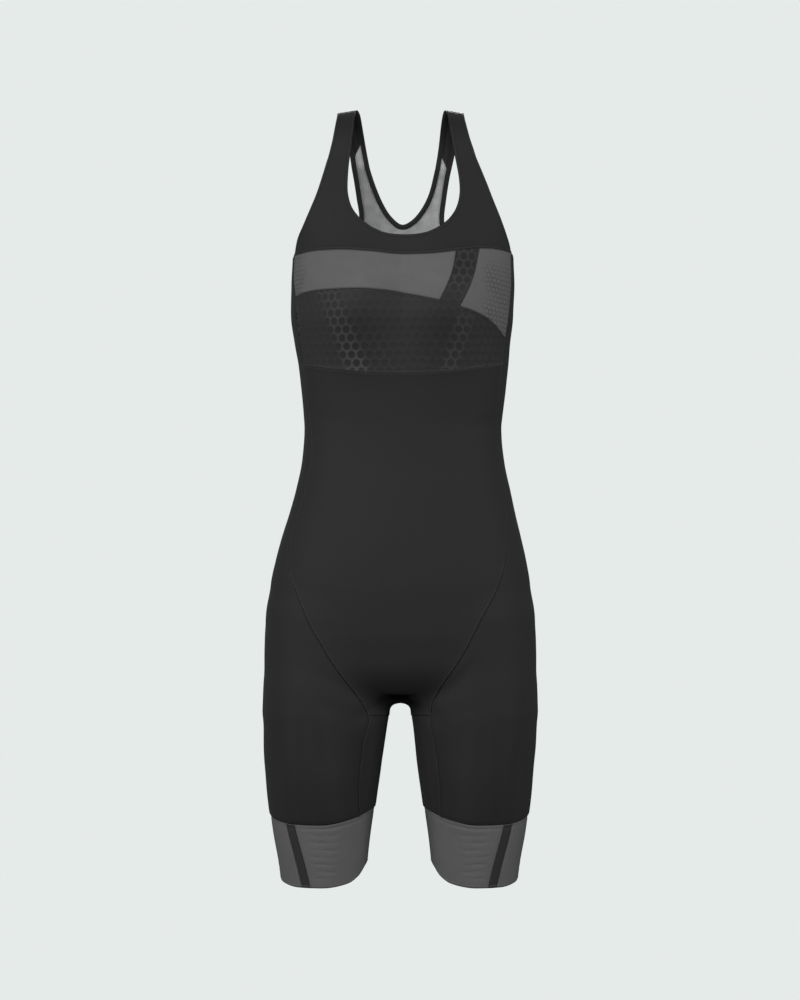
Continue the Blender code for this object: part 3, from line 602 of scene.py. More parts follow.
def jersey(name, colour, heather, shine=0.05, rough=0.72, emboss=None):
    """Fine knitted cloth: rows of small loops, a little uneven in colour, with painted shade along its
    seams.

    emboss adds a relief of its own: it is given the tree and both ways on the flat cut, and
    returns a height from 0 to 1, how deep that is, and what the colour is multiplied by.
    """
    material, tree, shader = paint(name)
    flat = tree.node("ShaderNodeUVMap", {"uv_map": "cut"}, {})
    across = tree.node("ShaderNodeSeparateXYZ", {}, [flat])
    down = Value(tree, across.socket.node.outputs[1])
    edge = tree.node("ShaderNodeAttribute", {"attribute_name": "edge"}, {}, out=2)
    loops = tree.wave(across, WALE)
    slant = tree.wave(down + loops * (COURSE * 0.22), COURSE)
    knit = (loops * 0.5 + slant * 0.5) * 0.5 + 0.5
    yarn = tree.node("ShaderNodeTexNoise", {}, {0: flat, "Scale": 900.0, "Detail": 2.0})
    cloud = tree.node("ShaderNodeTexNoise", {}, {0: flat, "Scale": 26.0, "Detail": 3.0})
    tone = (yarn - 0.5) * heather + (cloud - 0.5) * (heather * 0.5) + (knit - 0.5) * 0.10 + 1
    # Painted shade: the colour darkens within about a millimetre of every cut edge, as the seams' grooves
    # would be shaded.
    tone = tone * (0.66 + 0.34 * tree.smooth(edge, 0.2 * MM, 1.4 * MM))
    height = knit * (0.06 * MM) + cloud * (0.10 * MM)
    roughness = (yarn - 0.5) * 0.10 + rough
    if emboss:
        lift, deep, shade = emboss(tree, across, down)
        tone = tone * shade
        height = height + lift * deep
    ink = tree.node("ShaderNodeCombineXYZ", {}, [tone, tone, tone])
    paint_out = tree.node(
        "ShaderNodeVectorMath", {"operation": "MULTIPLY"}, [ink, tuple(colour)]
    )
    relief = tree.node("ShaderNodeBump", {}, {"Strength": 1.0, "Distance": 1.0, "Height": height})
    tree.links.new(paint_out.socket, shader.inputs["Base Color"])
    tree.links.new(roughness.socket, shader.inputs["Roughness"])
    tree.links.new(relief.socket, shader.inputs["Normal"])
    shader.inputs["Sheen Weight"].default_value = shine
    shader.inputs["Sheen Roughness"].default_value = 0.45
    shader.inputs["Specular IOR Level"].default_value = 0.2
    return material


WAFFLE_WIDE, WAFFLE_HIGH = 7.6 * MM, 5.3 * MM


def waffle(tree, across, down):
    """Shallow cells in rows, each half a cell along from the last, plainest over the front; towards the
    sides they are deeper and their hollows carry painted shade.
    """
    place = tree.node("ShaderNodeTexCoord", {}, {}, out=3)
    bend = tree.node("ShaderNodeTexNoise", {}, {0: place, "Scale": 70.0, "Detail": 1.0})
    across = across + (bend - 0.5) * (5 * MM)
    odd = (down / (2 * WAFFLE_HIGH)).math("FRACT").math("GREATER_THAN", 0.5)
    down = down + (bend - 0.5) * (2 * MM)
    cell = tree.wave(across + odd * (WAFFLE_WIDE / 2), WAFFLE_WIDE) * 0.5 + 0.5
    line = tree.wave(down, WAFFLE_HIGH) * -0.5 + 0.5
    lift = tree.smooth(cell, -0.05, 0.42) * tree.smooth(line, -0.10, 0.52)
    x = tree.node("ShaderNodeSeparateXYZ", {}, [place])
    height = Value(tree, x.socket.node.outputs[2])
    cloud = tree.node("ShaderNodeTexNoise", {}, {0: place, "Scale": 45.0, "Detail": 2.0})
    left = tree.smooth(x + cloud * 0.03, 104 * MM, 128 * MM) * (1 - tree.smooth(height, -0.205, -0.165))
    right = tree.smooth(cloud * 0.02 - x, 114 * MM, 130 * MM)
    plain = (left + right) * tree.smooth(height, -0.5, -0.4)
    blotch = tree.node("ShaderNodeTexNoise", {}, {0: place, "Scale": 130.0, "Detail": 2.0})
    uneven = (cloud - 0.5) * 0.12 + (blotch - 0.5) * 0.10
    depth = (0.02 + plain * 0.14) * MM
    # Painted shade: towards the sides the hollows between the cells are darkened, as a low grazing light
    # would shade them.
    return lift, depth, 0.97 + uneven - plain * (1 - lift) * (0.06 + 0.5 * cloud)


CHARCOAL = (0.0149, 0.0149, 0.0149)
GREY = (0.104, 0.104, 0.104)
grey_jersey = jersey("grey_jersey", GREY, heather=0.16, emboss=waffle)
CHEST_COLUMNS = [10 * FINE, 2 * FINE, 4 * FINE]
CHEST_ROWS = 5 * FINE
seams = {}
for part, letter in ((0, "r"), (2, "l")):
    grid = chest_grid(part, CHEST_COLUMNS[part], CHEST_ROWS)
    seams[f"band_{letter}"] = grid[:, -1 if part == 0 else 0], (1 - part, 0, 0)
    piece = Cut().grid(tucked(grid)).sewn(f"chest_cloth_{letter}")
    dress(piece, f"chest_panel_{letter}", grey_jersey)

# Honeycomb panel: one cut of charcoal jersey that goes round under the bust, with a slanted
# band that comes up between the two grey panels. The cloth is embossed all over with round
# dimples in a net of fine ridges, which carry a painted highlight in bands over the bust.
UNDERBUST_SEAM = Table(
    "x drop",
    (-112.1, 300),
    (-84.7, 304.5),
    (-58.1, 308),
    (-31.9, 310.1),
    (2.8, 310.9),
    (37.6, 309.8),
    (72.7, 306.4),
    (118.4, 298),
)
DIMPLE_PITCH = 10.8 * MM
DIMPLE_DEPTH = 0.3 * MM
DIMPLE_RADIUS, RIDGE_START = 3.4 * MM, 5.2 * MM
HONEY_CHARCOAL = (0.0205, 0.0205, 0.0205)
HONEY_COLUMNS = [150, 30, 60]
BAND_ROWS, HONEY_ROWS = 50, 60
UNROLL_LEVELS, UNROLL_TURNS = 60, 181
UNROLL_TOP, UNROLL_FOOT = 160 * MM, 320 * MM


def unrolled(rows):
    """Places on the flat cut of the front: round from the middle at each level, and down."""
    levels = np.linspace(UNROLL_TOP, UNROLL_FOOT, UNROLL_LEVELS)
    turns = np.linspace(-np.pi / 2, np.pi / 2, UNROLL_TURNS)
    sway = TRUNK.at(levels, "sway")[:, None]
    ring = cast(points(sway, 0, -levels[:, None]), points(np.sin(turns), -np.cos(turns), 0))
    run = length_along(ring)
    run -= run[:, [UNROLL_TURNS // 2]]
    drop = -rows[..., 2]
    turn = np.arctan2(rows[..., 0] - TRUNK.at(drop, "sway"), -rows[..., 1])
    across = (turn - turns[0]) / (turns[1] - turns[0])
    down = (drop - levels[0]) / (levels[1] - levels[0])
    i, j = down.astype(int), across.astype(int)
    s, t = down - i, across - j
    upper = run[i, j] * (1 - t) + run[i, j + 1] * t
    lower = run[i + 1, j] * (1 - t) + run[i + 1, j + 1] * t
    return np.stack([upper * (1 - s) + lower * s, drop], -1)


def dimple_net(tree, across, down):
    """0 in the round dimples and 1 on the net of ridges between them."""
    near = []
    for shift in (0, 0.5):
        row = DIMPLE_PITCH * 3**0.5
        sides = []
        for way, pitch in ((across, DIMPLE_PITCH), (down, row)):
            share = (way / pitch + shift).math("FRACT") - 0.5
            sides.append((share * pitch) ** 2)
        near.append((sides[0] + sides[1]).math("SQRT"))
    return tree.smooth(near[0].math("MINIMUM", near[1]), DIMPLE_RADIUS, RIDGE_START)


def embossing():
    """A geometry tree that sinks the dimples into the outer face of the cloth."""
    group = bpy.data.node_groups.new("dimple_embossing", "GeometryNodeTree")
    face = group.interface
    face.new_socket("Cloth", in_out="INPUT", socket_type="NodeSocketGeometry")
    depth = face.new_socket("Depth", in_out="INPUT", socket_type="NodeSocketFloat")
    face.new_socket("Cloth", in_out="OUTPUT", socket_type="NodeSocketGeometry")
    tree = Tree(group.nodes, group.links)
    start = tree.node("NodeGroupInput", {}, {})
    flat = tree.node(
        "GeometryNodeInputNamedAttribute", {"data_type": "FLOAT_VECTOR"}, {"Name": "flat"}
    )
    split = tree.node("ShaderNodeSeparateXYZ", {}, [flat])
    down = Value(tree, split.socket.node.outputs[1])
    edge, outer = [
        tree.node("GeometryNodeInputNamedAttribute", {"data_type": "FLOAT"}, {"Name": name})
        for name in ("edge", "face")
    ]
    ridge = dimple_net(tree, split, down)
    fade = tree.smooth(edge, 1.0 * MM, 3.0 * MM) * outer
    height = (ridge - 1) * fade * Value(tree, start.socket.node.outputs[1])
    normal = tree.node("GeometryNodeInputNormal", {}, {})
    push = tree.node("ShaderNodeVectorMath", {"operation": "SCALE"}, {0: normal, "Scale": height})
    moved = tree.node("GeometryNodeSetPosition", {}, {"Geometry": start, "Offset": push})
    flat_mesh = tree.node("GeometryNodeRealizeInstances", {}, [moved])
    end = group.nodes.new("NodeGroupOutput")
    group.links.new(flat_mesh.socket, end.inputs[0])
    return group, depth.identifier


def grown(piece, group, sizes):
    """A piece becomes the plain mesh that a geometry tree makes of it; sizes are by identifier."""
    grow = piece.modifiers.new("grow", "NODES")
    grow.node_group = group
    for identifier, value in sizes.items():
        grow[identifier] = value
    depsgraph = bpy.context.evaluated_depsgraph_get()
    depsgraph.update()
    mesh = bpy.data.meshes.new_from_object(piece.evaluated_get(depsgraph))
    piece.modifiers.clear()
    piece.data = mesh
    mesh.name = piece.name


def slanting_band(tree, x, drop, line, half_width):
    """1 along a slanting line from (x, drop) to (x, drop), down to 0 at its half width."""
    (x_a, drop_a), (x_b, drop_b) = line
    middle = (drop - drop_a) * ((x_b - x_a) / (drop_b - drop_a)) + x_a
    return 1 - tree.smooth((x - middle).math("ABSOLUTE"), 0.3 * half_width, half_width)


BAND_LINE = ((77 * MM, 160 * MM), (54 * MM, 228 * MM))
RIGHT_BUST_LINE = ((-85 * MM, 212 * MM), (-50 * MM, 303 * MM))
RIGHT_FADE_LINE = ((-68 * MM, 212 * MM), (-22 * MM, 303 * MM))
LEFT_BUST_LINE = ((76 * MM, 240 * MM), (58 * MM, 300 * MM))


def honeycomb(tree, across, down):
    """Ridges paler in slanting bands over the bust, a painted highlight, with painted shade in the dimples
    of those bands; towards +x the ridges are darker in patches.
    """
    net = dimple_net(tree, across, down)
    place = tree.node("ShaderNodeTexCoord", {}, {}, out=3)
    x = tree.node("ShaderNodeSeparateXYZ", {}, [place])
    drop = Value(tree, x.socket.node.outputs[2]) * -1
    cloud = tree.node("ShaderNodeTexNoise", {}, {0: place, "Scale": 60.0, "Detail": 2.0})
    right = slanting_band(tree, x, drop, RIGHT_BUST_LINE, 19 * MM)
    fade = slanting_band(tree, x, drop, RIGHT_FADE_LINE, 34 * MM)
    left = slanting_band(tree, x, drop, LEFT_BUST_LINE, 15 * MM) * tree.smooth(drop, 228 * MM, 255 * MM)
    band = slanting_band(tree, x, drop, BAND_LINE, 30 * MM) * (1 - tree.smooth(drop, 205 * MM, 232 * MM))
    lower = 0.5 + 0.9 * tree.smooth(drop, 225 * MM, 310 * MM)
    # Painted highlight: the ridges are made paler in slanting bands over the bust, as a side light would
    # make them.
    painted_highlight = (right * lower * 0.95 + left * 0.62) * (0.3 + cloud * 1.4)
    painted_highlight = painted_highlight + fade * lower * 0.14 + band * 0.42 + 0.07
    # Painted shade: the dimples in those bands are darkened.
    hollow = band * 0.28 + right * 0.10 + fade * 0.04
    # The ridges are also darker in cloudy patches towards +x.
    dull = tree.smooth(x + cloud * 0.03, 94 * MM, 112 * MM) * 0.42 * cloud
    return net, 0.0, 0.96 + net * (painted_highlight - dull) - (1 - net) * hollow


band = chest_grid(1, HONEY_COLUMNS[1], BAND_ROWS)
chest_row = np.vstack(
    [chest_grid(part, HONEY_COLUMNS[part], 1)[-1][: None if part == 2 else -1] for part in range(3)]
)
ends = [side_seam(side, UNDERBUST_DROPS[side])[0] for side in (-1, 1)]
underbust_row = sew_line(UNDERBUST_SEAM, *ends, sum(HONEY_COLUMNS))
under = between(chest_row, underbust_row, HONEY_ROWS)
for side, column in ((-1, 0), (1, -1)):
    drops = np.linspace(CHEST_DROPS[side], UNDERBUST_DROPS[side], HONEY_ROWS + 1)
    under[:, column] = side_seam(side, drops)
under[0, HONEY_COLUMNS[0] : HONEY_COLUMNS[0] + HONEY_COLUMNS[1] + 1] = band[-1]
honeycomb_jersey = jersey("honeycomb_jersey", HONEY_CHARCOAL, heather=0.10, rough=0.66, emboss=honeycomb)
honeycomb_cut = Cut().grid(band, unrolled(band)).grid(under, unrolled(under))
piece = honeycomb_cut.sewn("honeycomb_cloth", roll=LAPPED_ROLL)
corners = np.empty(len(piece.data.loops), int)
piece.data.loops.foreach_get("vertex_index", corners)
spots = np.empty(len(corners) * 2)
piece.data.uv_layers["cut"].uv.foreach_get("vector", spots)
flat = np.zeros((len(piece.data.vertices), 3))
flat[corners, :2] = spots.reshape(-1, 2)
label = piece.data.attributes.new("flat", "FLOAT_VECTOR", "POINT")
label.data.foreach_set("vector", flat.ravel())
group, depth = embossing()
grown(piece, group, {depth: DIMPLE_DEPTH})
dress(piece, "honeycomb_panel", honeycomb_jersey)

# Front yoke: smooth charcoal jersey over the upper chest, cut in one with both shoulder
# straps, which go over the shoulders to slanted seams behind. Its free edges are turned in.
RIGHT_ARMHOLE = Table(
    "over x",
    (-171, -122.8),
    (-155, -119.5),
    (-138, -111.5),
    (-120, -103.3),
    (-101.6, -95.6),
    (-83, -89.6),
    (-64, -83.9),
    (-44, -77.1),
    (-22, -73.2),
    (0, -72),
    (18, -67.5),
    (34, -62.5),
    (51, -58),
    (70, -54.1),
    (95, -50.2),
    (115, -47.4),
    (128, -49),
    (145, -59.5),
)
LEFT_ARMHOLE = Table(
    "over x",
    (-168, 129),
    (-162, 128),
    (-146, 122.4),
    (-128, 115.2),
    (-110, 107.6),
    (-92, 100.6),
    (-73, 92.9),
    (-56, 85.8),
    (-43, 79.8),
    (-24, 75),
    (0, 73.5),
    (18, 70.5),
    (34, 67),
    (50, 63.4),
    (63, 59.2),
    (95, 53.8),
    (118, 51.4),
    (130, 53.2),
    (145, 62.5),
)
FRONT_NECK = Table(
    "x over",
    (-50.5, 0),
    (-52.5, -27),
    (-55.1, -46),
    (-58.1, -64),
    (-59.8, -85),
    (-59.7, -103),
    (-55.6, -119),
    (-47.8, -131),
    (-39, -139),
    (-29, -145.6),
    (-15.2, -151),
    (5, -152.9),
    (24.8, -151.3),
    (39.8, -145.8),
    (52.4, -137.3),
    (61.2, -126.7),
    (66.3, -114.9),
    (68.4, -101.9),
    (67.8, -87.5),
    (65.4, -71.9),
    (62.6, -58),
    (58.6, -43),
    (55.6, -27),
    (53, 0),
)
BACK_NECK = Table(
    "x over",
    (-50.5, 0),
    (-48.4, 14),
    (-45.9, 30),
    (-41.9, 46.5),
    (-37, 62),
    (-30.5, 81),
    (-21.3, 101.6),
    (-10.8, 117),
    (2, 126),
    (15.2, 120.6),
    (27.4, 106.6),
    (36.6, 88),
    (43, 63),
    (47.8, 44),
    (51, 20),
    (53, 0),
)
STRAP_SEAMS = {-1: (54 * MM, 39 * MM), 1: (64 * MM, 48 * MM)}
ARMHOLES = {-1: RIGHT_ARMHOLE, 1: LEFT_ARMHOLE}
STRAP_BACK, STRAP, STRAP_ROWS = 7 * FINE, 11 * FINE, 4 * FINE
PANEL = 16 * FINE
PANEL_FROM, PANEL_TO = 0.30, 0.68
NECK_STEPS = 600


def armhole_path(side, low, high, count):
    """Places (x, over) along an armhole edge."""
    over = np.linspace(low, high, 60)
    return smooth_path(np.stack([ARMHOLES[side].at(over, "x"), over], 1), count)


def neck_path(table, low, high, count):
    """Places (x, over) along a neck edge between two shares of its length."""
    return smooth_path(table.rows, count, np.linspace(low, high, count + 1))


edges = {}
for side in (-1, 1):
    outer, top = STRAP_SEAMS[side][0], ARMHOLES[side].rows[0, 0]
    behind = armhole_path(side, outer, 0, STRAP_BACK)
    edges[side] = np.vstack([behind[:-1], armhole_path(side, 0, top, STRAP)])
chest_tops = [chest_grid(part, CHEST_COLUMNS[part], 1)[0] for part in range(3)]
yoke_foot = np.vstack([chest_tops[0][:-1], chest_tops[1][:-1], chest_tops[2]])
foot_path = np.stack([yoke_foot[:, 0], yoke_foot[:, 2]], 1)
outer_edge = np.vstack([edges[-1][:-1], foot_path, edges[1][::-1][1:]])
neck_run = smooth_path(BACK_NECK.rows, NECK_STEPS)[:, 1]
shares = np.linspace(0, 1, NECK_STEPS + 1)
third = NECK_STEPS // 3
NECK_ENDS = (
    np.interp(STRAP_SEAMS[-1][1], neck_run[:third], shares[:third]),
    np.interp(STRAP_SEAMS[1][1], neck_run[:-third:-1], shares[:-third:-1]),
)
inner_edge = np.vstack(
    [
        neck_path(BACK_NECK, NECK_ENDS[0], 0, STRAP_BACK)[:-1],
        neck_path(FRONT_NECK, 0, PANEL_FROM, STRAP)[:-1],
        neck_path(FRONT_NECK, PANEL_FROM, PANEL_TO, PANEL),
        neck_path(FRONT_NECK, PANEL_TO, 1, STRAP)[1:],
        neck_path(BACK_NECK, 1, NECK_ENDS[1], STRAP_BACK)[1:],
    ]
)
yoke_rows = []
for share in np.linspace(0, 1, STRAP_ROWS + 1):
    line = outer_edge + (inner_edge - outer_edge) * share
    yoke_rows.append(over_shoulder(line[:, 0], line[:, 1]))
yoke_rows = np.array(yoke_rows)
first_foot = STRAP_BACK + STRAP
yoke_rows[0, first_foot : first_foot + PANEL + 1] = yoke_foot


def strap_flat(rows):
    """Places on a flat cut that goes over the shoulder: across, and along from the crest."""
    x, y, z = np.moveaxis(rows, -1, 0)
    turn = np.arctan2(y, z + SHOULDER_DROP)
    quarter = np.pi / 2
    below = np.maximum(-z - SHOULDER_DROP, 0) * np.sign(y)
    return np.stack([x * STRETCH, np.clip(turn, -quarter, quarter) * SHOULDER_RISE + below], -1)


TURNED_PLY = 3.6 * MM


def turned_edge(tree, across, down):
    """Along its edges the cloth lies double, up to the groove where the turned ply ends; the band has a
    painted highlight, the groove painted shade.
    """
    edge = tree.node("ShaderNodeAttribute", {"attribute_name": "edge"}, {}, out=2)
    double = 1 - tree.smooth(edge, TURNED_PLY - 0.5 * MM, TURNED_PLY)
    groove = 1 - tree.smooth((edge - TURNED_PLY).math("ABSOLUTE"), 0.2 * MM, 0.8 * MM)
    # Painted highlight on the double band along the edges, painted shade in the groove.
    return double, 0.3 * MM, 1 + double * 0.16 - groove * 0.3


yoke_places = tucked(yoke_rows)
seams["yoke"] = yoke_foot, (0, 0, 1)
yoke_cut = Cut().grid(yoke_places, strap_flat(yoke_places))
yoke_jersey = jersey("yoke_jersey", CHARCOAL, heather=0.08, emboss=turned_edge)
yoke = yoke_cut.sewn("yoke_cloth")
dress(yoke, "yoke_front", yoke_jersey)

# Lower front and lower back: charcoal jersey from the chest or the racer back down to the
# crotch seam between the legs, each cut in at the sides along the diagonal leg seams.
charcoal_jersey = jersey("charcoal_jersey", CHARCOAL, heather=0.08)
BACK_SIDE_SEAM = Table(
    "drop x",
    (172, 119),
    (236, 118),
    (300, 110),
    (371, 102),
    (413, 105),
    (470, 118),
    (526, 131),
    (556, 130),
    (590, 116),
    (620, 97),
    (650, 75),
    (680, 50),
    (702, 35),
    (730, 41),
    (757, 45),
    (788, 47),
    (818, 47),
)
BACK_SEAM_DROP, BACK_RIBS_DROP = 236 * MM, 298 * MM
THIGH_SEAM_DROP, CROTCH_SEAM_DROP = 702 * MM, 706 * MM
CROTCH_FAN = 100 * MM
TURN_IN_DROP = 602 * MM
STRAIGHTENED = 60 * MM
UNDERBUST_ROWS, BODY_ROWS, CROTCH_ROWS = 4 * FINE, 17 * FINE, 4 * FINE


def seam_drops(side, face):
    """Drops of the rows down a side seam, from the armhole to the inside of the thigh."""
    if face < 0:
        levels = SIDE_SEAMS[side].rows[0, 0], CHEST_DROPS[side], UNDERBUST_DROPS[side]
    else:
        levels = BACK_SIDE_SEAM.rows[0, 0], BACK_SEAM_DROP, BACK_RIBS_DROP
    counts = CHEST_ROWS, UNDERBUST_ROWS, BODY_ROWS
    stretches = zip(levels, [*levels[1:], THIGH_SEAM_DROP], counts)
    drops = [np.linspace(top, foot, count + 1)[:-1] for top, foot, count in stretches]
    return np.concatenate([*drops, [THIGH_SEAM_DROP]])


def back_seam(side, drop):
    """Skin points of the seam between the back and a side panel."""
    return over_shoulder(side * BACK_SIDE_SEAM.at(drop, "x") + TRUNK.at(drop, "sway"), drop)


def leg_middle(side, drop):
    """The middle of a leg at a drop."""
    x, y = THIGH.at(drop, "centre_x", "centre_y")
    return points(side * x + TRUNK.at(drop, "sway"), y, -drop)


def leg_point(side, way, drop):
    """Skin point of a leg, by the way round from the front to the outside in radians."""
    inward = np.maximum(-np.sin(way), 0.3)
    reach = THIGH.at(drop, "centre_x") / inward
    return cast(leg_middle(side, drop), points(side * np.sin(way), -np.cos(way), 0), reach)


def way_round(side, p):
    """The way round a leg to each place, from the front to the outside in radians."""
    middle = leg_middle(side, -p[..., 2])
    return np.arctan2(side * (p[..., 0] - middle[..., 0]), middle[..., 1] - p[..., 1])


def thigh_ways(side, level):
    """Ways round the leg of the seams in front of and behind the inner leg."""
    front = over_shoulder(SIDE_SEAMS[side].at(level, "x"), -level)
    return way_round(side, front), way_round(side, back_seam(side, level)) % (2 * np.pi)


def crotch_edge(side, face):
    """Skin points along the top of the inner leg, from the side seam to the crotch seam."""
    start = thigh_ways(side, THIGH_SEAM_DROP)[0 if face < 0 else 1]
    end = -np.pi / 2 if face < 0 else 1.5 * np.pi
    share = np.linspace(0, 1, CROTCH_ROWS + 1)
    drop = THIGH_SEAM_DROP + (CROTCH_SEAM_DROP - THIGH_SEAM_DROP) * share
    return leg_point(side, start + (end - start) * share, drop)


def row_round(start, end, middle, way, shares, bow=0):
    """A row of skin points from start round the middle to end; way is +1 towards +X in front."""
    turn_a = np.arctan2(start[0] - middle[0], middle[1] - start[1])
    turn_b = np.arctan2(end[0] - middle[0], middle[1] - end[1])
    if way * (turn_b - turn_a) < 0:
        turn_b += way * 2 * np.pi
    turn = turn_a + (turn_b - turn_a) * shares
    height = start[2] + (end[2] - start[2]) * shares + bow
    row = cast(points(middle[0], middle[1], height), points(np.sin(turn), -np.cos(turn), 0))
    row[0], row[-1] = start, end
    return row


SEAM_PATHS = {}
CROTCH_EDGES = {}
for side in (-1, 1):
    for face in (-1, 1):
        drops = seam_drops(side, face)
        seam = side_seam(side, drops) if face < 0 else back_seam(side, drops)
        edge = crotch_edge(side, face)
        edge[0] = seam[-1]
        SEAM_PATHS[side, face], CROTCH_EDGES[side, face] = seam, edge


def trunk_rows(face, start, first, shares):
    """Rows between both side seams from one level to the crotch seam; face is -1 in front."""
    lines = {s: np.vstack([SEAM_PATHS[s, face], CROTCH_EDGES[s, face][1:]]) for s in (-1, 1)}
    drops = -(lines[-1][:, 2] + lines[1][:, 2]) / 2
    turn_in, last = int(np.argmax(drops > TURN_IN_DROP)), len(drops) - 1
    rows = [] if first is None else [first]
    bow = 0 if first is None else first[:, 2] - first[0, 2] - (first[-1, 2] - first[0, 2]) * shares
    for i in range(start + len(rows), last + 1):
        a, b = lines[face][i], lines[-face][i]
        if i < turn_in:
            middle = points(TRUNK.at(drops[i], "sway"), 0, 0)
            straighter = max(1 - (drops[i] - drops[start]) / STRAIGHTENED, 0)
            rows.append(row_round(a, b, middle, 1, shares, bow * straighter))
            continue
        end = CROTCH_DROP + CROTCH_FAN
        share = (i - turn_in + 1) / (last - turn_in + 1)
        run = drops[turn_in - 1] + (end - drops[turn_in - 1]) * share
        turn = np.clip((run - CROTCH_DROP) / CROTCH_FAN, 0, 1) * np.pi / 2
        origin = points((a[0] + b[0]) / 2, 0, -min(run, CROTCH_DROP))
        middle = cast(origin, points(0, face * np.cos(turn), -np.sin(turn)))
        t = shares[:, None]
        row = settle(a * (1 - t) * (1 - 2 * t) + middle * 4 * t * (1 - t) + b * t * (2 * t - 1))
        row[0], row[-1] = a, b
        rows.append(row)
    return np.array(rows)


chest_feet = [chest_grid(part, CHEST_COLUMNS[part], 1)[-1] for part in range(3)]
chest_foot = np.vstack([chest_feet[0][:-1], chest_feet[1][:-1], chest_feet[2]])
waist_row = between(chest_foot, sew_line(UNDERBUST_SEAM, *ends, PANEL), 1)[-1]
to_waist = CHEST_ROWS + UNDERBUST_ROWS
waist_row[0], waist_row[-1] = SEAM_PATHS[-1, -1][to_waist], SEAM_PATHS[1, -1][to_waist]
turns = np.arctan2(waist_row[:, 0] - waist_row[:, 0].mean(), -waist_row[:, 1])
FRONT_SHARES = (turns - turns[0]) / (turns[-1] - turns[0])
even = np.linspace(0, 1, PANEL + 1)
BACK_SHARES = (even + (1 - np.cos(np.pi * even)) / 2) / 2
front_rows = trunk_rows(-1, to_waist, waist_row, FRONT_SHARES)
back_rows = trunk_rows(1, CHEST_ROWS, None, BACK_SHARES)
back_rows[-1] = smooth_path(front_rows[-1][::-1], PANEL, BACK_SHARES)
front_rows[-1] = back_rows[-1][::-1]
for feet, letter in ((chest_feet[0], "r"), (chest_feet[2], "l")):
    seams[f"chest_{letter}"] = feet, (0, 0, -1)
seams["underbust"] = waist_row, (0, 0, 1)
seams["back"], seams["crotch"] = (back_rows[0], (0, 0, -1)), (front_rows[-1], (0, -1, 0))
for rows, name, node in (
    (front_rows, "front_cloth", "body_front"),
    (back_rows, "back_cloth", "back_body"),
):
    piece = Cut().grid(tucked(rows)).sewn(name, roll=LAPPED_ROLL)
    dress(piece, node, charcoal_jersey)

# Side panels: from the armhole to the knee cuff, each is one piece of charcoal jersey that is
# also the outer leg. The inner leg is a small piece of its own between the diagonal seams.
CUFF = Table(
    "way seam hem",
    (-90, 812, 876),
    (-70, 812.4, 879),
    (-50, 816, 889),
    (-30, 821.5, 896.5),
    (0, 827, 900.5),
    (30, 826.6, 900.5),
    (60, 823.4, 898),
    (90, 819, 896),
    (135, 818, 894),
    (180, 819, 890),
    (225, 815, 882),
    (270, 812, 876),
)
CUFF_LEVEL = 820 * MM
STREAK_WIDTH, STREAK_LENGTH = 30 * MM, 190 * MM
SIDE_COLUMNS, THIGH_ROWS = 12 * FINE, 6 * FINE
SIDE_TO_LEG = 520 * MM


def cuff_drop(way, name):
    """Drop of the cuff seam or the hem by the way round the leg, which the table has in degrees.

    A table scales all its columns to metres, so the degrees are scaled in the same way.
    """
    degrees = (np.degrees(way) + 90) % 360 - 90
    return CUFF.at(degrees * MM, name)


def leg_row(side, first, last, level, columns):
    """A row round a leg, level above and falling into the cuff seam below."""
    way = np.linspace(first, last, columns + 1)
    fall = np.clip((level - THIGH_SEAM_DROP) / (CUFF_LEVEL - THIGH_SEAM_DROP), 0, 1)
    return leg_point(side, way, level + fall * (cuff_drop(way, "seam") - CUFF_LEVEL))


def streaks(tree, across, down):
    """Long faint paler and darker streaks down the leg, and painted shade that darkens the thigh."""
    run = tree.node("ShaderNodeCombineXYZ", {}, [across / STREAK_WIDTH, down / STREAK_LENGTH, 0.0])
    streak = tree.node("ShaderNodeTexNoise", {}, {0: run, "Scale": 1.0, "Detail": 1.0})
    place = tree.node("ShaderNodeTexCoord", {}, {}, out=3)
    split = tree.node("ShaderNodeSeparateXYZ", {}, [place])
    thigh = tree.smooth(Value(tree, split.socket.node.outputs[2]) * -1, 620 * MM, 740 * MM)
    # Painted shade: the thigh is made darker overall; the streaks lighten or darken the colour in long
    # patches.
    return streak, 0.0, 1 + thigh * ((streak - 0.5) * 0.7 - 0.12)


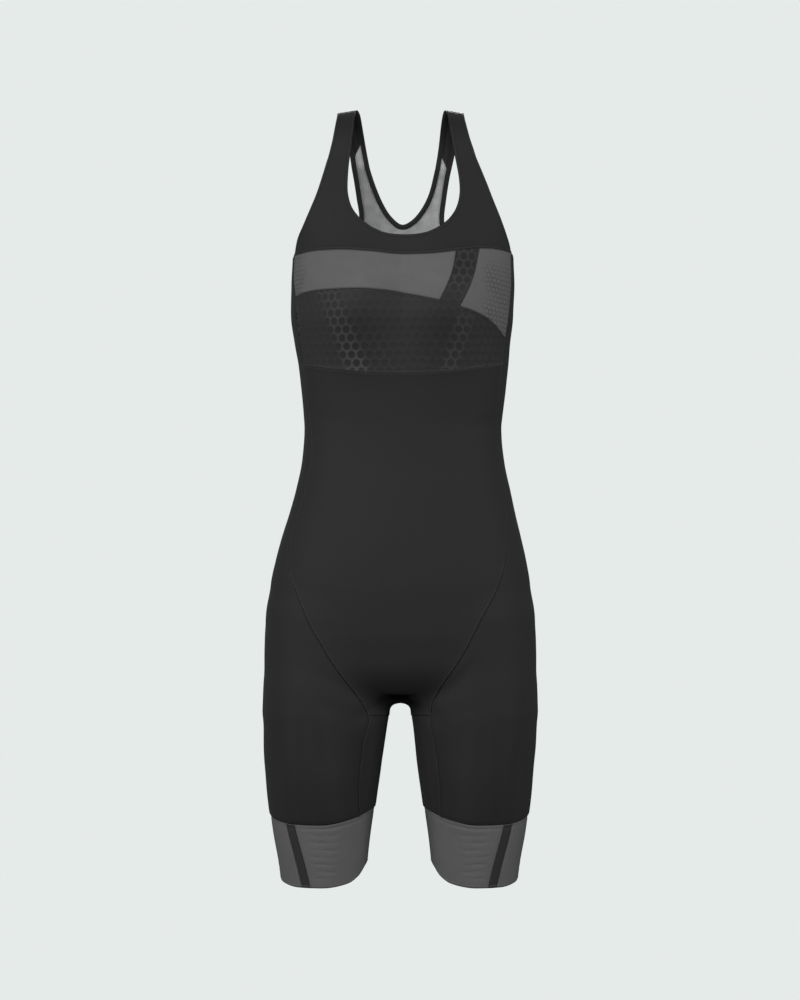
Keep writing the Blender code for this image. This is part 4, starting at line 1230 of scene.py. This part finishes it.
leg_jersey = jersey("leg_jersey", CHARCOAL, heather=0.08, emboss=streaks)
leg_levels = np.linspace(THIGH_SEAM_DROP, CUFF_LEVEL, THIGH_ROWS + 1)[1:]
for side, letter in ((-1, "r"), (1, "l")):
    rows = []
    for a, b in zip(SEAM_PATHS[side, -1], SEAM_PATHS[side, 1]):
        drop = -(a[2] + b[2]) / 2
        to_leg = np.clip((drop - SIDE_TO_LEG) / (THIGH_SEAM_DROP - SIDE_TO_LEG), 0, 1)
        to_leg = to_leg**2 * (3 - 2 * to_leg)
        body_middle = points(TRUNK.at(drop, "sway"), 0, 0)
        middle = body_middle * (1 - to_leg) + leg_middle(side, drop) * to_leg
        rows.append(row_round(a, b, middle, side, np.linspace(0, 1, SIDE_COLUMNS + 1)))
    inner = [np.vstack([CROTCH_EDGES[side, 1], CROTCH_EDGES[side, -1][::-1][1:]])]
    for level in leg_levels:
        front, back = thigh_ways(side, level)
        rows.append(leg_row(side, front, back, level, SIDE_COLUMNS))
        inner.append(leg_row(side, back, front + 2 * np.pi, level, 2 * CROTCH_ROWS))
    rows, inner = np.array(rows), np.array(inner)
    for cut, name, node in (
        (rows, f"side_cloth_{letter}", f"side_leg_{letter}"),
        (inner, f"inner_leg_cloth_{letter}", f"inner_leg_{letter}"),
    ):
        piece = Cut().grid(tucked(cut)).sewn(name, roll=UNDER_ROLL)
        dress(piece, node, leg_jersey)
    seams[f"side_front_{letter}"] = rows[:, 0], (-side, 0, 0)
    seams[f"side_back_{letter}"] = rows[:, -1], (-side, 0, 0)
    seams[f"inner_leg_{letter}"] = inner[0], (0, 0, 1)
    seams[f"cuff_{letter}"] = np.vstack([rows[-1][:-1], inner[-1]]), (0, 0, -1)

# Leg cuffs: wide bands of grey jersey that grip the thigh, sewn on under the edge of the leg,
# with a slanted strip of black jersey let into each. Grip ribs inside show as faint ripples.
CUFF_STEP = 1.4 * MM
CUFF_ROWS, CUFF_COLUMNS, STRIPE_COLUMNS = 56, 150, 6
STRIPE_BLACK = (0.0240, 0.0240, 0.0240)
STRIPE_SEAM_X, STRIPE_HEM_X, STRIPE_WIDTH = 131.6 * MM, 112.2 * MM, 10 * MM
RIPPLE_LENGTH, RIPPLE_WIDTH, RIPPLE_DEPTH = 8.6 * MM, 1.4 * MM, 0.6 * MM
RIPPLE_PLACES = ((165 * MM, 17 * MM, 1.0), (-6 * MM, 26 * MM, 0.8), (-112 * MM, 18 * MM, 0.6))
GROOVE_DOWN, GROOVE_WIDTH, GROOVE_DEPTH = 4.8 * MM, 1.2 * MM, 0.9 * MM


def ripples(flat, edge):
    """Faint troughs between the grip ribs inside, in uneven patches, and the seam's groove."""
    across, down = flat.T
    patch = sum(
        deep * np.exp(-(((across - place) / half_width) ** 4)) for place, half_width, deep in RIPPLE_PLACES
    )
    patch = patch * (0.65 + 0.35 * np.sin(across / (5.1 * MM) + down / (3.7 * MM)))
    bent = down + 0.9 * MM * np.sin(across / (9 * MM)) + 0.5 * MM * np.sin(across / (3.3 * MM) + 2)
    share = np.abs((bent / RIPPLE_LENGTH) % 1 - 0.5) * RIPPLE_LENGTH
    trough = np.exp(-((share / RIPPLE_WIDTH) ** 2)) * np.clip((edge - 7 * MM) / (4 * MM), 0, 1)
    groove = np.exp(-(((down - GROOVE_DOWN) / GROOVE_WIDTH) ** 2))
    uneven = 0.62 + 0.38 * np.sin(across / (21 * MM) + 0.4)
    return -RIPPLE_DEPTH * trough * patch - GROOVE_DEPTH * groove * uneven


hems = []
stripe_jersey = jersey("stripe_jersey", STRIPE_BLACK, heather=0.08)
for side, letter in ((-1, "r"), (1, "l")):
    stripe = []
    for name, x in (("seam", STRIPE_SEAM_X), ("hem", STRIPE_HEM_X)):
        ways = []
        for edge in (x - STRIPE_WIDTH, x):
            level = cuff_drop(0, name)
            for _ in range(6):
                sway = TRUNK.at(level, "sway")
                way = way_round(side, over_shoulder(side * edge + sway, -level))
                level = cuff_drop(way, name)
            ways.append(way)
        stripe.append(ways)
    inside, outside = np.array(stripe).T
    for cut, first, last, columns, slot, material in (
        ("cuff_band", outside, inside + 2 * np.pi, CUFF_COLUMNS, "grey_jersey", grey_jersey),
        ("cuff_stripe", inside, outside, STRIPE_COLUMNS, "black_jersey", stripe_jersey),
    ):
        rows = []
        for share in np.linspace(0, 1, CUFF_ROWS + 1):
            ends_here = [way[0] + (way[1] - way[0]) * share for way in (first, last)]
            way = np.linspace(*ends_here, columns + 1)
            drop = cuff_drop(way, "seam") * (1 - share) + cuff_drop(way, "hem") * share
            rows.append(leg_point(side, way, drop))
        hems.append(rows[-3])
        cloth = Cut().grid(np.array(rows)).sewn(f"{cut}_cloth_{letter}", CUFF_STEP, ripples)
        dress(cloth, f"{cut}_{letter}", material)

# Racer back: one piece of light grey mesh that carries both back straps and fills the back
# between the armholes, sewn to the straps of the yoke by short slanted seams.
RACER_FOOT = 145 * MM
RACER_NECK = 0.4
FLARE_BENDS = ((0.28, 0.42), (0.63, 0.80))
RACER_COLUMNS, RACER_ROWS, ARMHOLE_ROWS = 8 * FINE, 4 * FINE, 5 * FINE
MESH_GREY = (0.29, 0.294, 0.294)
MESH_PITCH = 2.4 * MM


def net(tree, across, down):
    """Small holes in rows, which leave a net of yarn, a little uneven in tone.

    The ends that are turned in at the strap seams lie double and look paler, and painted light
    makes the net paler still towards the top and towards +x.
    """
    holes = (tree.wave(across, MESH_PITCH) + tree.wave(down + across * 0.5, MESH_PITCH)) * 0.5
    lift = 1 - tree.smooth(holes, 0.25, 0.8)
    place = tree.node("ShaderNodeTexCoord", {}, {}, out=3)
    cloud = tree.node("ShaderNodeTexNoise", {}, {0: place, "Scale": 85.0, "Detail": 3.0})
    split = tree.node("ShaderNodeSeparateXYZ", {}, [place])
    double_ply_and_painted_light = 1 - tree.smooth(Value(tree, split.socket.node.outputs[2]) * -1, 50 * MM, 66 * MM)
    painted_light_on_left = tree.smooth(split, 20 * MM, 52 * MM)
    # Painted light: paler towards the top, partly the double ply at the strap seams, and paler towards +x.
    tone = (0.72 + 0.28 * lift) * (0.58 + 0.84 * cloud) * (0.9 + 0.5 * double_ply_and_painted_light + 0.25 * painted_light_on_left)
    return lift, 0.25 * MM, tone


racer_sides = [
    armhole_path(-1, STRAP_SEAMS[-1][0], RACER_FOOT, RACER_COLUMNS),
    armhole_path(1, RACER_FOOT, STRAP_SEAMS[1][0], RACER_COLUMNS),
]
low, high = racer_sides[0][-1, 0], racer_sides[1][0, 0]
cross = np.stack([low + (high - low) * BACK_SHARES, np.full(PANEL + 1, RACER_FOOT)], 1)
racer_outer = np.vstack([racer_sides[0][:-1], cross, racer_sides[1][1:]])
beside = RACER_NECK * (NECK_ENDS[1] - NECK_ENDS[0])
neck_low, neck_high = NECK_ENDS[0] + beside, NECK_ENDS[1] - beside
racer_inner = np.vstack(
    [
        neck_path(BACK_NECK, NECK_ENDS[0], neck_low, RACER_COLUMNS)[:-1],
        neck_path(BACK_NECK, neck_low, neck_high, PANEL),
        neck_path(BACK_NECK, neck_high, NECK_ENDS[1], RACER_COLUMNS)[1:],
    ]
)
racer_rows = []
for share in np.linspace(0, 1, RACER_ROWS + 1):
    line = racer_outer + (racer_inner - racer_outer) * share
    racer_rows.append(over_shoulder(line[:, 0], line[:, 1]))
racer_rows = np.array(racer_rows)
flare = {}
for side in (-1, 1):
    start = np.array([ARMHOLES[side].at(RACER_FOOT, "x"), RACER_FOOT])
    seam = SEAM_PATHS[side, 1][0]
    reach = np.array([seam[0], -seam[2]]) - start
    bend = [start, *(start + reach * share for share in FLARE_BENDS), start + reach]
    places = smooth_path(bend, ARMHOLE_ROWS)
    line = over_shoulder(places[:, 0], places[:, 1])
    line[-1] = seam
    flare[side] = np.vstack([line, SEAM_PATHS[side, 1][1 : CHEST_ROWS + 1]])
lower_rows = [racer_rows[0, RACER_COLUMNS : RACER_COLUMNS + PANEL + 1]]
count = ARMHOLE_ROWS + CHEST_ROWS
for i in range(1, count + 1):
    a, b = flare[-1][i], flare[1][i]
    level = RACER_FOOT + (BACK_SEAM_DROP - RACER_FOOT) * i / count
    level_ends = -(a[2] + (b[2] - a[2]) * BACK_SHARES)
    drop = level_ends + (level - level_ends) * (1 - np.abs(2 * BACK_SHARES - 1) ** 3)
    sway = TRUNK.at(drop, "sway")
    turn = [np.arctan2(p[0] - sway[0], p[1]) for p in (a, b)]
    turn = turn[0] + (turn[1] - turn[0]) * BACK_SHARES
    row = cast(points(sway, 0, -drop), points(np.sin(turn), np.cos(turn), 0))
    row[0], row[-1] = a, b
    lower_rows.append(row)
lower_rows[-1] = back_rows[0][::-1]
lower_rows = np.array(lower_rows)
mesh_cloth = jersey("grey_mesh", MESH_GREY, heather=0.16, emboss=net)
racer_cut = Cut().grid(racer_rows, strap_flat(racer_rows)).grid(lower_rows, strap_flat(lower_rows))
dress(racer_cut.sewn("racer_cloth"), "back_racer", mesh_cloth)
strap_seams = [racer_rows[2:-2, 0], racer_rows[2:-2, -1]]

# Bindings: strips of black jersey folded over the cut edges of the back neckline and of the
# armholes behind, both plies clear of the cloth between them, and topstitched through.
BLACK = (0.0125, 0.0125, 0.0125)
black_jersey = jersey("black_jersey", BLACK, heather=0.08)
BINDING_WIDTH, BINDING_PLY, BINDING_GAP = 4.2 * MM, 0.5 * MM, 0.6 * MM
TOPSTITCH_IN, TOPSTITCH_LIFT = 1.1 * MM, 0.08 * MM
END_CUT = 0.5 * MM
CLEAR_OF_SEAM = 3 * MM
FOLD_STEPS = 6
topstitches = []


def binding(name, node, edge, inside):
    """A strip folded round a cut edge; inside is a place that the edge goes round."""
    trees = [BVHTree.FromPolygons(cut.places, cut.faces) for cut in (yoke_cut, racer_cut)]
    edge = edge.copy()
    edge[-1] += (edge[-2] - edge[-1]) * END_CUT / np.linalg.norm(edge[-2] - edge[-1])
    normal = outward(edge)
    out = np.cross(np.gradient(edge, axis=0), normal)
    out /= np.linalg.norm(out, axis=1, keepdims=True)
    turn = 1 if np.sum(out * (inside - edge)) > 0 else -1
    out *= turn
    reach = []
    for place in edge - out * BINDING_WIDTH:
        found = [tree.find_nearest(tuple(place)) for tree in trees]
        reach.append(min(found, key=lambda hit: hit[3])[0])
    reach = np.array(reach)
    normal_in = outward(reach)
    half = WALL / 2 + BINDING_GAP
    for way, lift in ((1, half - WALL / 2 + BINDING_PLY), (-1, half + WALL / 2 + BINDING_PLY)):
        row = reach + out * TOPSTITCH_IN + normal_in * way * (lift + TOPSTITCH_LIFT)
        topstitches.append((row, normal_in * way))
    rings = []
    for thick, order in ((BINDING_PLY, 1), (0, -1)):
        ring = [reach + normal_in * (half - WALL / 2 + thick)]
        for angle in np.linspace(np.pi / 2, -np.pi / 2, FOLD_STEPS + 1):
            centre = edge - normal * (WALL / 2)
            ring.append(centre + (normal * np.sin(angle) + out * np.cos(angle)) * (half + thick))
        ring.append(reach - normal_in * (half + WALL / 2 + thick))
        rings += ring[::order]
    places = np.stack(rings, 1)
    rows, sides = places.shape[:2]
    index = np.arange(rows * sides).reshape(rows, sides)
    faces = []
    for i in range(rows - 1):
        for j in range(sides):
            k = (j + 1) % sides
            faces.append([index[i, j], index[i, k], index[i + 1, k], index[i + 1, j]])
    half_way = sides // 2
    for row, flip in ((0, 1), (rows - 1, -1)):
        for j in range(half_way - 1):
            near, far = index[row, sides - 1 - j], index[row, sides - 2 - j]
            faces.append([index[row, j], near, far, index[row, j + 1]][::flip])
    mesh = bpy.data.meshes.new(name)
    made = [[int(v) for v in face[::turn]] for face in faces]
    mesh.from_pydata(places.reshape(-1, 3).tolist(), [], made)
    mesh.shade_smooth()
    piece = bpy.data.objects.new(name, mesh)
    bpy.context.scene.collection.objects.link(piece)
    round_strip = length_along(places)
    along = length_along(places.swapaxes(0, 1)).T
    flat = np.stack([round_strip, along], -1).reshape(-1, 2)
    corner = np.empty(len(mesh.loops), int)
    mesh.loops.foreach_get("vertex_index", corner)
    mesh.uv_layers.new(name="cut").uv.foreach_set("vector", flat[corner].ravel())
    mesh.attributes.new("edge", "FLOAT", "POINT").data.foreach_set(
        "value", np.full(len(mesh.vertices), CLEAR_OF_SEAM)
    )
    mesh.materials.append(black_jersey)
    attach(piece, "root")
    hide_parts(node)


behind = STRAP_BACK
neck_edge = np.vstack(
    [yoke_rows[-1, behind:0:-1], racer_rows[-1], yoke_rows[-1, -2 : -2 - behind : -1]]
)
binding("neck_binding_strip", "neck_binding", neck_edge, points(0, 90 * MM, -60 * MM))
for side, letter in ((-1, "r"), (1, "l")):
    strap, straight = yoke_rows[0, ::-side], racer_rows[0, ::-side]
    lines = [strap[behind:0:-1], straight[:RACER_COLUMNS], flare[side][: ARMHOLE_ROWS + 1]]
    place = points(side * 120 * MM, 60 * MM, -90 * MM)
    binding(f"armhole_binding_strip_{letter}", f"armhole_binding_{letter}", np.vstack(lines), place)

# Seams and stitches: edges of cloth that lie one a little over the other, held by two rows of
# short stitches, the upper in paler thread, and by looper threads that cross between them.
STITCH_PITCH, STITCH_LENGTH, THREAD = 2.6 * MM, 2.3 * MM, 0.42 * MM
ROW_OUT, UPPER_LIFT, UNDER_LIFT = 1.3 * MM, 0.24 * MM, -0.2 * MM
EDGE_ROW_IN, EDGE_LIFT = 1.1 * MM, 0.02 * MM
LOOPER_LENGTH, LOOPER_TURN, LOOPER_LIFT = 3.6 * MM, 0.95, 0.1 * MM
STRAP_ROWS_OUT = (0.9 * MM, 3.4 * MM)
HEM_LIFT = -1.3 * MM
UNDERBUST_LIFT, STRAP_LIFT = 0.3 * MM, 0.1 * MM
CUFF_ROW_DOWN, CUFF_ROW_LOW = 0.9 * MM, 0.1 * MM


def thread_tree():
    """A geometry tree that lays short threads along lines, square to the cloth under them."""
    group = bpy.data.node_groups.new("threads", "GeometryNodeTree")
    face = group.interface
    face.new_socket("Lines", in_out="INPUT", socket_type="NodeSocketGeometry")
    sizes = {}
    for name in ("Pitch", "Length", "Thickness", "Turn"):
        made = face.new_socket(name, in_out="INPUT", socket_type="NodeSocketFloat")
        sizes[name] = made.identifier
    colour = face.new_socket("Thread", in_out="INPUT", socket_type="NodeSocketMaterial")
    sizes["Thread"] = colour.identifier
    face.new_socket("Threads", in_out="OUTPUT", socket_type="NodeSocketGeometry")
    tree = Tree(group.nodes, group.links)
    start = tree.node("NodeGroupInput", {}, {})
    given = {name: Value(tree, start.socket.node.outputs[name]) for name in sizes}
    curve = tree.node("GeometryNodeMeshToCurve", {}, [start])
    even = tree.node(
        "GeometryNodeResampleCurve", {"mode": "LENGTH"}, {"Curve": curve, "Length": given["Pitch"]}
    )
    grain = tree.node("GeometryNodeMeshUVSphere", {}, {"Segments": 5, "Rings": 4, "Radius": 0.5})
    size = tree.node(
        "ShaderNodeCombineXYZ", {}, [given["Length"], given["Thickness"], given["Thickness"]]
    )
    turn = tree.node("ShaderNodeCombineXYZ", {}, {"Z": given["Turn"]})
    grain = tree.node(
        "GeometryNodeTransform", {}, {"Geometry": grain, "Rotation": turn, "Scale": size}
    )
    out = tree.node(
        "GeometryNodeInputNamedAttribute", {"data_type": "FLOAT_VECTOR"}, {"Name": "out"}
    )
    along = tree.node("GeometryNodeInputTangent", {}, {})
    lie = tree.node("FunctionNodeAlignRotationToVector", {"axis": "Z"}, {"Vector": out})
    head = tree.node(
        "FunctionNodeAlignRotationToVector",
        {"axis": "X", "pivot_axis": "Z"},
        {"Rotation": lie, "Vector": along},
    )
    laid = tree.node(
        "GeometryNodeInstanceOnPoints", {}, {"Points": even, "Instance": grain, "Rotation": head}
    )
    real = tree.node("GeometryNodeRealizeInstances", {}, [laid])
    real = tree.node("GeometryNodeSetMaterial", {}, {"Geometry": real, "Material": given["Thread"]})
    end = group.nodes.new("NodeGroupOutput")
    group.links.new(real.socket, end.inputs[0])
    return group, sizes


def row_beside(line, toward, offset, lift, face=1):
    """Places of a row of thread beside a seam, and the way up from the cloth under them."""
    out = outward(line)
    side = np.cross(out, np.gradient(line, axis=0))
    side /= np.linalg.norm(side, axis=1, keepdims=True)
    side *= 1 if np.mean(side @ np.array(toward, float)) > 0 else -1
    line = settle(line + side * offset)
    out = outward(line)
    return line + out * (creased(line) + lift)[:, None], out * face


def threads(name, rows, material, length, turn=0.0):
    """A piece with threads laid along rows of places."""
    links, count = [], 0
    for line, _ in rows:
        links += [(count + i, count + i + 1) for i in range(len(line) - 1)]
        count += len(line)
    mesh = bpy.data.meshes.new(name)
    mesh.from_pydata(np.vstack([line for line, _ in rows]).tolist(), links, [])
    out = np.vstack([up for _, up in rows])
    mesh.attributes.new("out", "FLOAT_VECTOR", "POINT").data.foreach_set("vector", out.ravel())
    piece = bpy.data.objects.new(name, mesh)
    bpy.context.scene.collection.objects.link(piece)
    values = {"Pitch": STITCH_PITCH, "Length": length, "Thickness": THREAD, "Turn": turn}
    values["Thread"] = material
    grown(piece, thread_group, {thread_sizes[key]: value for key, value in values.items()})
    piece.data.shade_smooth()
    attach(piece, "root")


def thread_paint(name, colour):
    """Spun thread: dull, with a fine uneven tone along it."""
    material, tree, shader = paint(name)
    place = tree.node("ShaderNodeTexCoord", {}, {}, out=3)
    fuzz = tree.node("ShaderNodeTexNoise", {}, {"Vector": place, "Scale": 1500.0, "Detail": 2.0})
    tone = fuzz * 0.5 + 0.75
    ink = tree.node("ShaderNodeCombineXYZ", {}, [tone, tone, tone])
    ink = tree.node("ShaderNodeVectorMath", {"operation": "MULTIPLY"}, [ink, tuple(colour)])
    tree.links.new(ink.socket, shader.inputs["Base Color"])
    shader.inputs["Roughness"].default_value = 0.6
    return material


thread_group, thread_sizes = thread_tree()
dark_thread = thread_paint("dark_thread", (0.016, 0.016, 0.016))
charcoal_thread = thread_paint("charcoal_thread", (0.050, 0.050, 0.050))
grey_thread = thread_paint("grey_thread", (0.21, 0.21, 0.21))
mesh_thread = thread_paint("mesh_thread", (0.62, 0.62, 0.62))
cuffs = [seams[f"cuff_{letter}"] for letter in "rl"]
underbust = [seams.pop("underbust")]
others = [seam for name, seam in seams.items() if not name.startswith("cuff")]
upper = [row_beside(line, toward, ROW_OUT, UPPER_LIFT) for line, toward in others]
under = [row_beside(line, toward, -ROW_OUT, UNDER_LIFT) for line, toward in others + cuffs]
loopers = [row_beside(line, toward, 0, LOOPER_LIFT) for line, toward in others]
# Along the yoke's free edges a row of paler thread: a topstitch whose pale colour is a painted highlight
# on the turned edge.
free_edges = [
    (yoke_rows[-1], (0, 0, -1)),
    (yoke_rows[0, : first_foot + 1], (1, 0, 0)),
    (yoke_rows[0, first_foot + PANEL :], (-1, 0, 0)),
]
upper += [row_beside(line, toward, EDGE_ROW_IN, EDGE_LIFT) for line, toward in free_edges]
for offset in (-ROW_OUT, ROW_OUT):
    upper += [row_beside(line, toward, offset, UPPER_LIFT) for line, toward in underbust]
crossing = [row_beside(line, toward, 0, UNDERBUST_LIFT) for line, toward in underbust]
threads("underbust_loopers", crossing, charcoal_thread, LOOPER_LENGTH, LOOPER_TURN)
threads("seam_stitches", upper, charcoal_thread, STITCH_LENGTH)
threads("under_stitches", under, dark_thread, STITCH_LENGTH)
threads("seam_loopers", loopers, dark_thread, LOOPER_LENGTH, LOOPER_TURN)
threads("binding_stitches", topstitches, dark_thread, STITCH_LENGTH)
grey = [row_beside(line, toward, CUFF_ROW_DOWN, -CUFF_STEP - CUFF_ROW_LOW) for line, toward in cuffs]
grey += [row_beside(line, (0, 0, 1), 0, HEM_LIFT) for line in hems]
threads("cuff_stitches", grey, grey_thread, STITCH_LENGTH)
pale = [
    row_beside(line, (0, 0, -1), offset, lift, face)
    for line in strap_seams
    for offset in STRAP_ROWS_OUT
    for lift, face in ((STRAP_LIFT, 1), (-WALL - STRAP_LIFT, -1))
]
threads("strap_stitches", pale, mesh_thread, STITCH_LENGTH)

# Room: a plain pale floor some way below the hems that fades into the pale air round it, and
# soft light from large square panels in front, at both sides and behind.
PALE, FILL, FLOOR_PALE = (0.79, 0.83, 0.82, 1), (0.81, 0.82, 0.82, 1), (0.58, 0.605, 0.6, 1)
FILL_ABOVE, FILL_BELOW = 0.15, 0.015
FLOOR_DROP, FLOOR_SIZE = 1.25, 1.6
FADE_START, FADE_END = 0.3, 1.1
MIDDLE = (0, 0, -0.455)
bpy.context.scene.view_settings.view_transform = "Standard"
world = bpy.data.worlds.new("pale_room")
bpy.context.scene.world = world
world.use_nodes = True
tree = Tree(world.node_tree.nodes, world.node_tree.links)
way = tree.node("ShaderNodeTexCoord", {}, {})
up = tree.node("ShaderNodeSeparateXYZ", {}, [way])
up = Value(tree, up.socket.node.outputs[2])
seen = tree.node("ShaderNodeLightPath", {}, {})
air = tree.node("ShaderNodeBackground", {}, {"Color": PALE, "Strength": 1.0})
soft = tree.smooth(up, -0.5, 0.9) * FILL_ABOVE + FILL_BELOW
fill = tree.node("ShaderNodeBackground", {}, {"Color": FILL, "Strength": soft})
both = tree.node("ShaderNodeMixShader", {}, [seen, fill, air])
tree.links.new(both.socket, world.node_tree.nodes["World Output"].inputs["Surface"])
mesh = bpy.data.meshes.new("floor")
corners = [(-1, -1), (1, -1), (1, 1), (-1, 1)]
mesh.from_pydata([(x * FLOOR_SIZE, y * FLOOR_SIZE, -FLOOR_DROP) for x, y in corners], [], [[0, 1, 2, 3]])
floor = bpy.data.objects.new("floor", mesh)
bpy.context.scene.collection.objects.link(floor)
material, tree, shader = paint("floor_paint")
shader.inputs["Base Color"].default_value = FLOOR_PALE
shader.inputs["Roughness"].default_value = 0.9
place = tree.node("ShaderNodeTexCoord", {}, {}, out=3)
level = tree.node("ShaderNodeVectorMath", {"operation": "MULTIPLY"}, [place, (1.0, 1.0, 0.0)])
spread = tree.node("ShaderNodeVectorMath", {"operation": "LENGTH"}, [level], out=1)
clear = tree.node("ShaderNodeBsdfTransparent", {}, {})
fade = tree.smooth(spread, FADE_START, FADE_END)
faded = tree.node("ShaderNodeMixShader", {}, [fade, Value(tree, shader.outputs[0]), clear])
tree.links.new(faded.socket, material.node_tree.nodes["Material Output"].inputs["Surface"])
mesh.materials.append(material)
floor.visible_diffuse = floor.visible_glossy = False
for name, place, size, power in (
    ("front_panel", (-0.3, -2.3, 0.35), 1.2, 29),
    ("left_panel", (-2.1, -1.2, 0.0), 1.2, 36),
    ("right_panel", (2.1, -1.2, 0.0), 1.2, 34),
    ("back_panel", (0.1, 3.0, 0.8), 0.9, 118),
):
    light = bpy.data.lights.new(name, "AREA")
    light.shape = "SQUARE"
    light.size, light.energy = size, power
    lamp = bpy.data.objects.new(name, light)
    bpy.context.scene.collection.objects.link(lamp)
    lamp.visible_camera = False
    lamp.location = place
    x, y, z = np.subtract(MIDDLE, place)
    lamp.rotation_euler = (np.arctan2(np.hypot(x, y), -z), 0, np.arctan2(-x, y))

# Camera: straight in front of the suit and level with its middle, far enough off for a long
# lens, so that the straps and the cuffs are seen almost square on.
CAMERA_AWAY = 3.2
camera = bpy.data.objects.new("camera", bpy.data.cameras.new("camera"))
bpy.context.scene.collection.objects.link(camera)
camera.location = (0, -CAMERA_AWAY, MIDDLE[2])
camera.rotation_euler = (np.pi / 2, 0, 0)
camera.data.sensor_width = 36
camera.data.lens = 98.46
bpy.context.scene.camera = camera
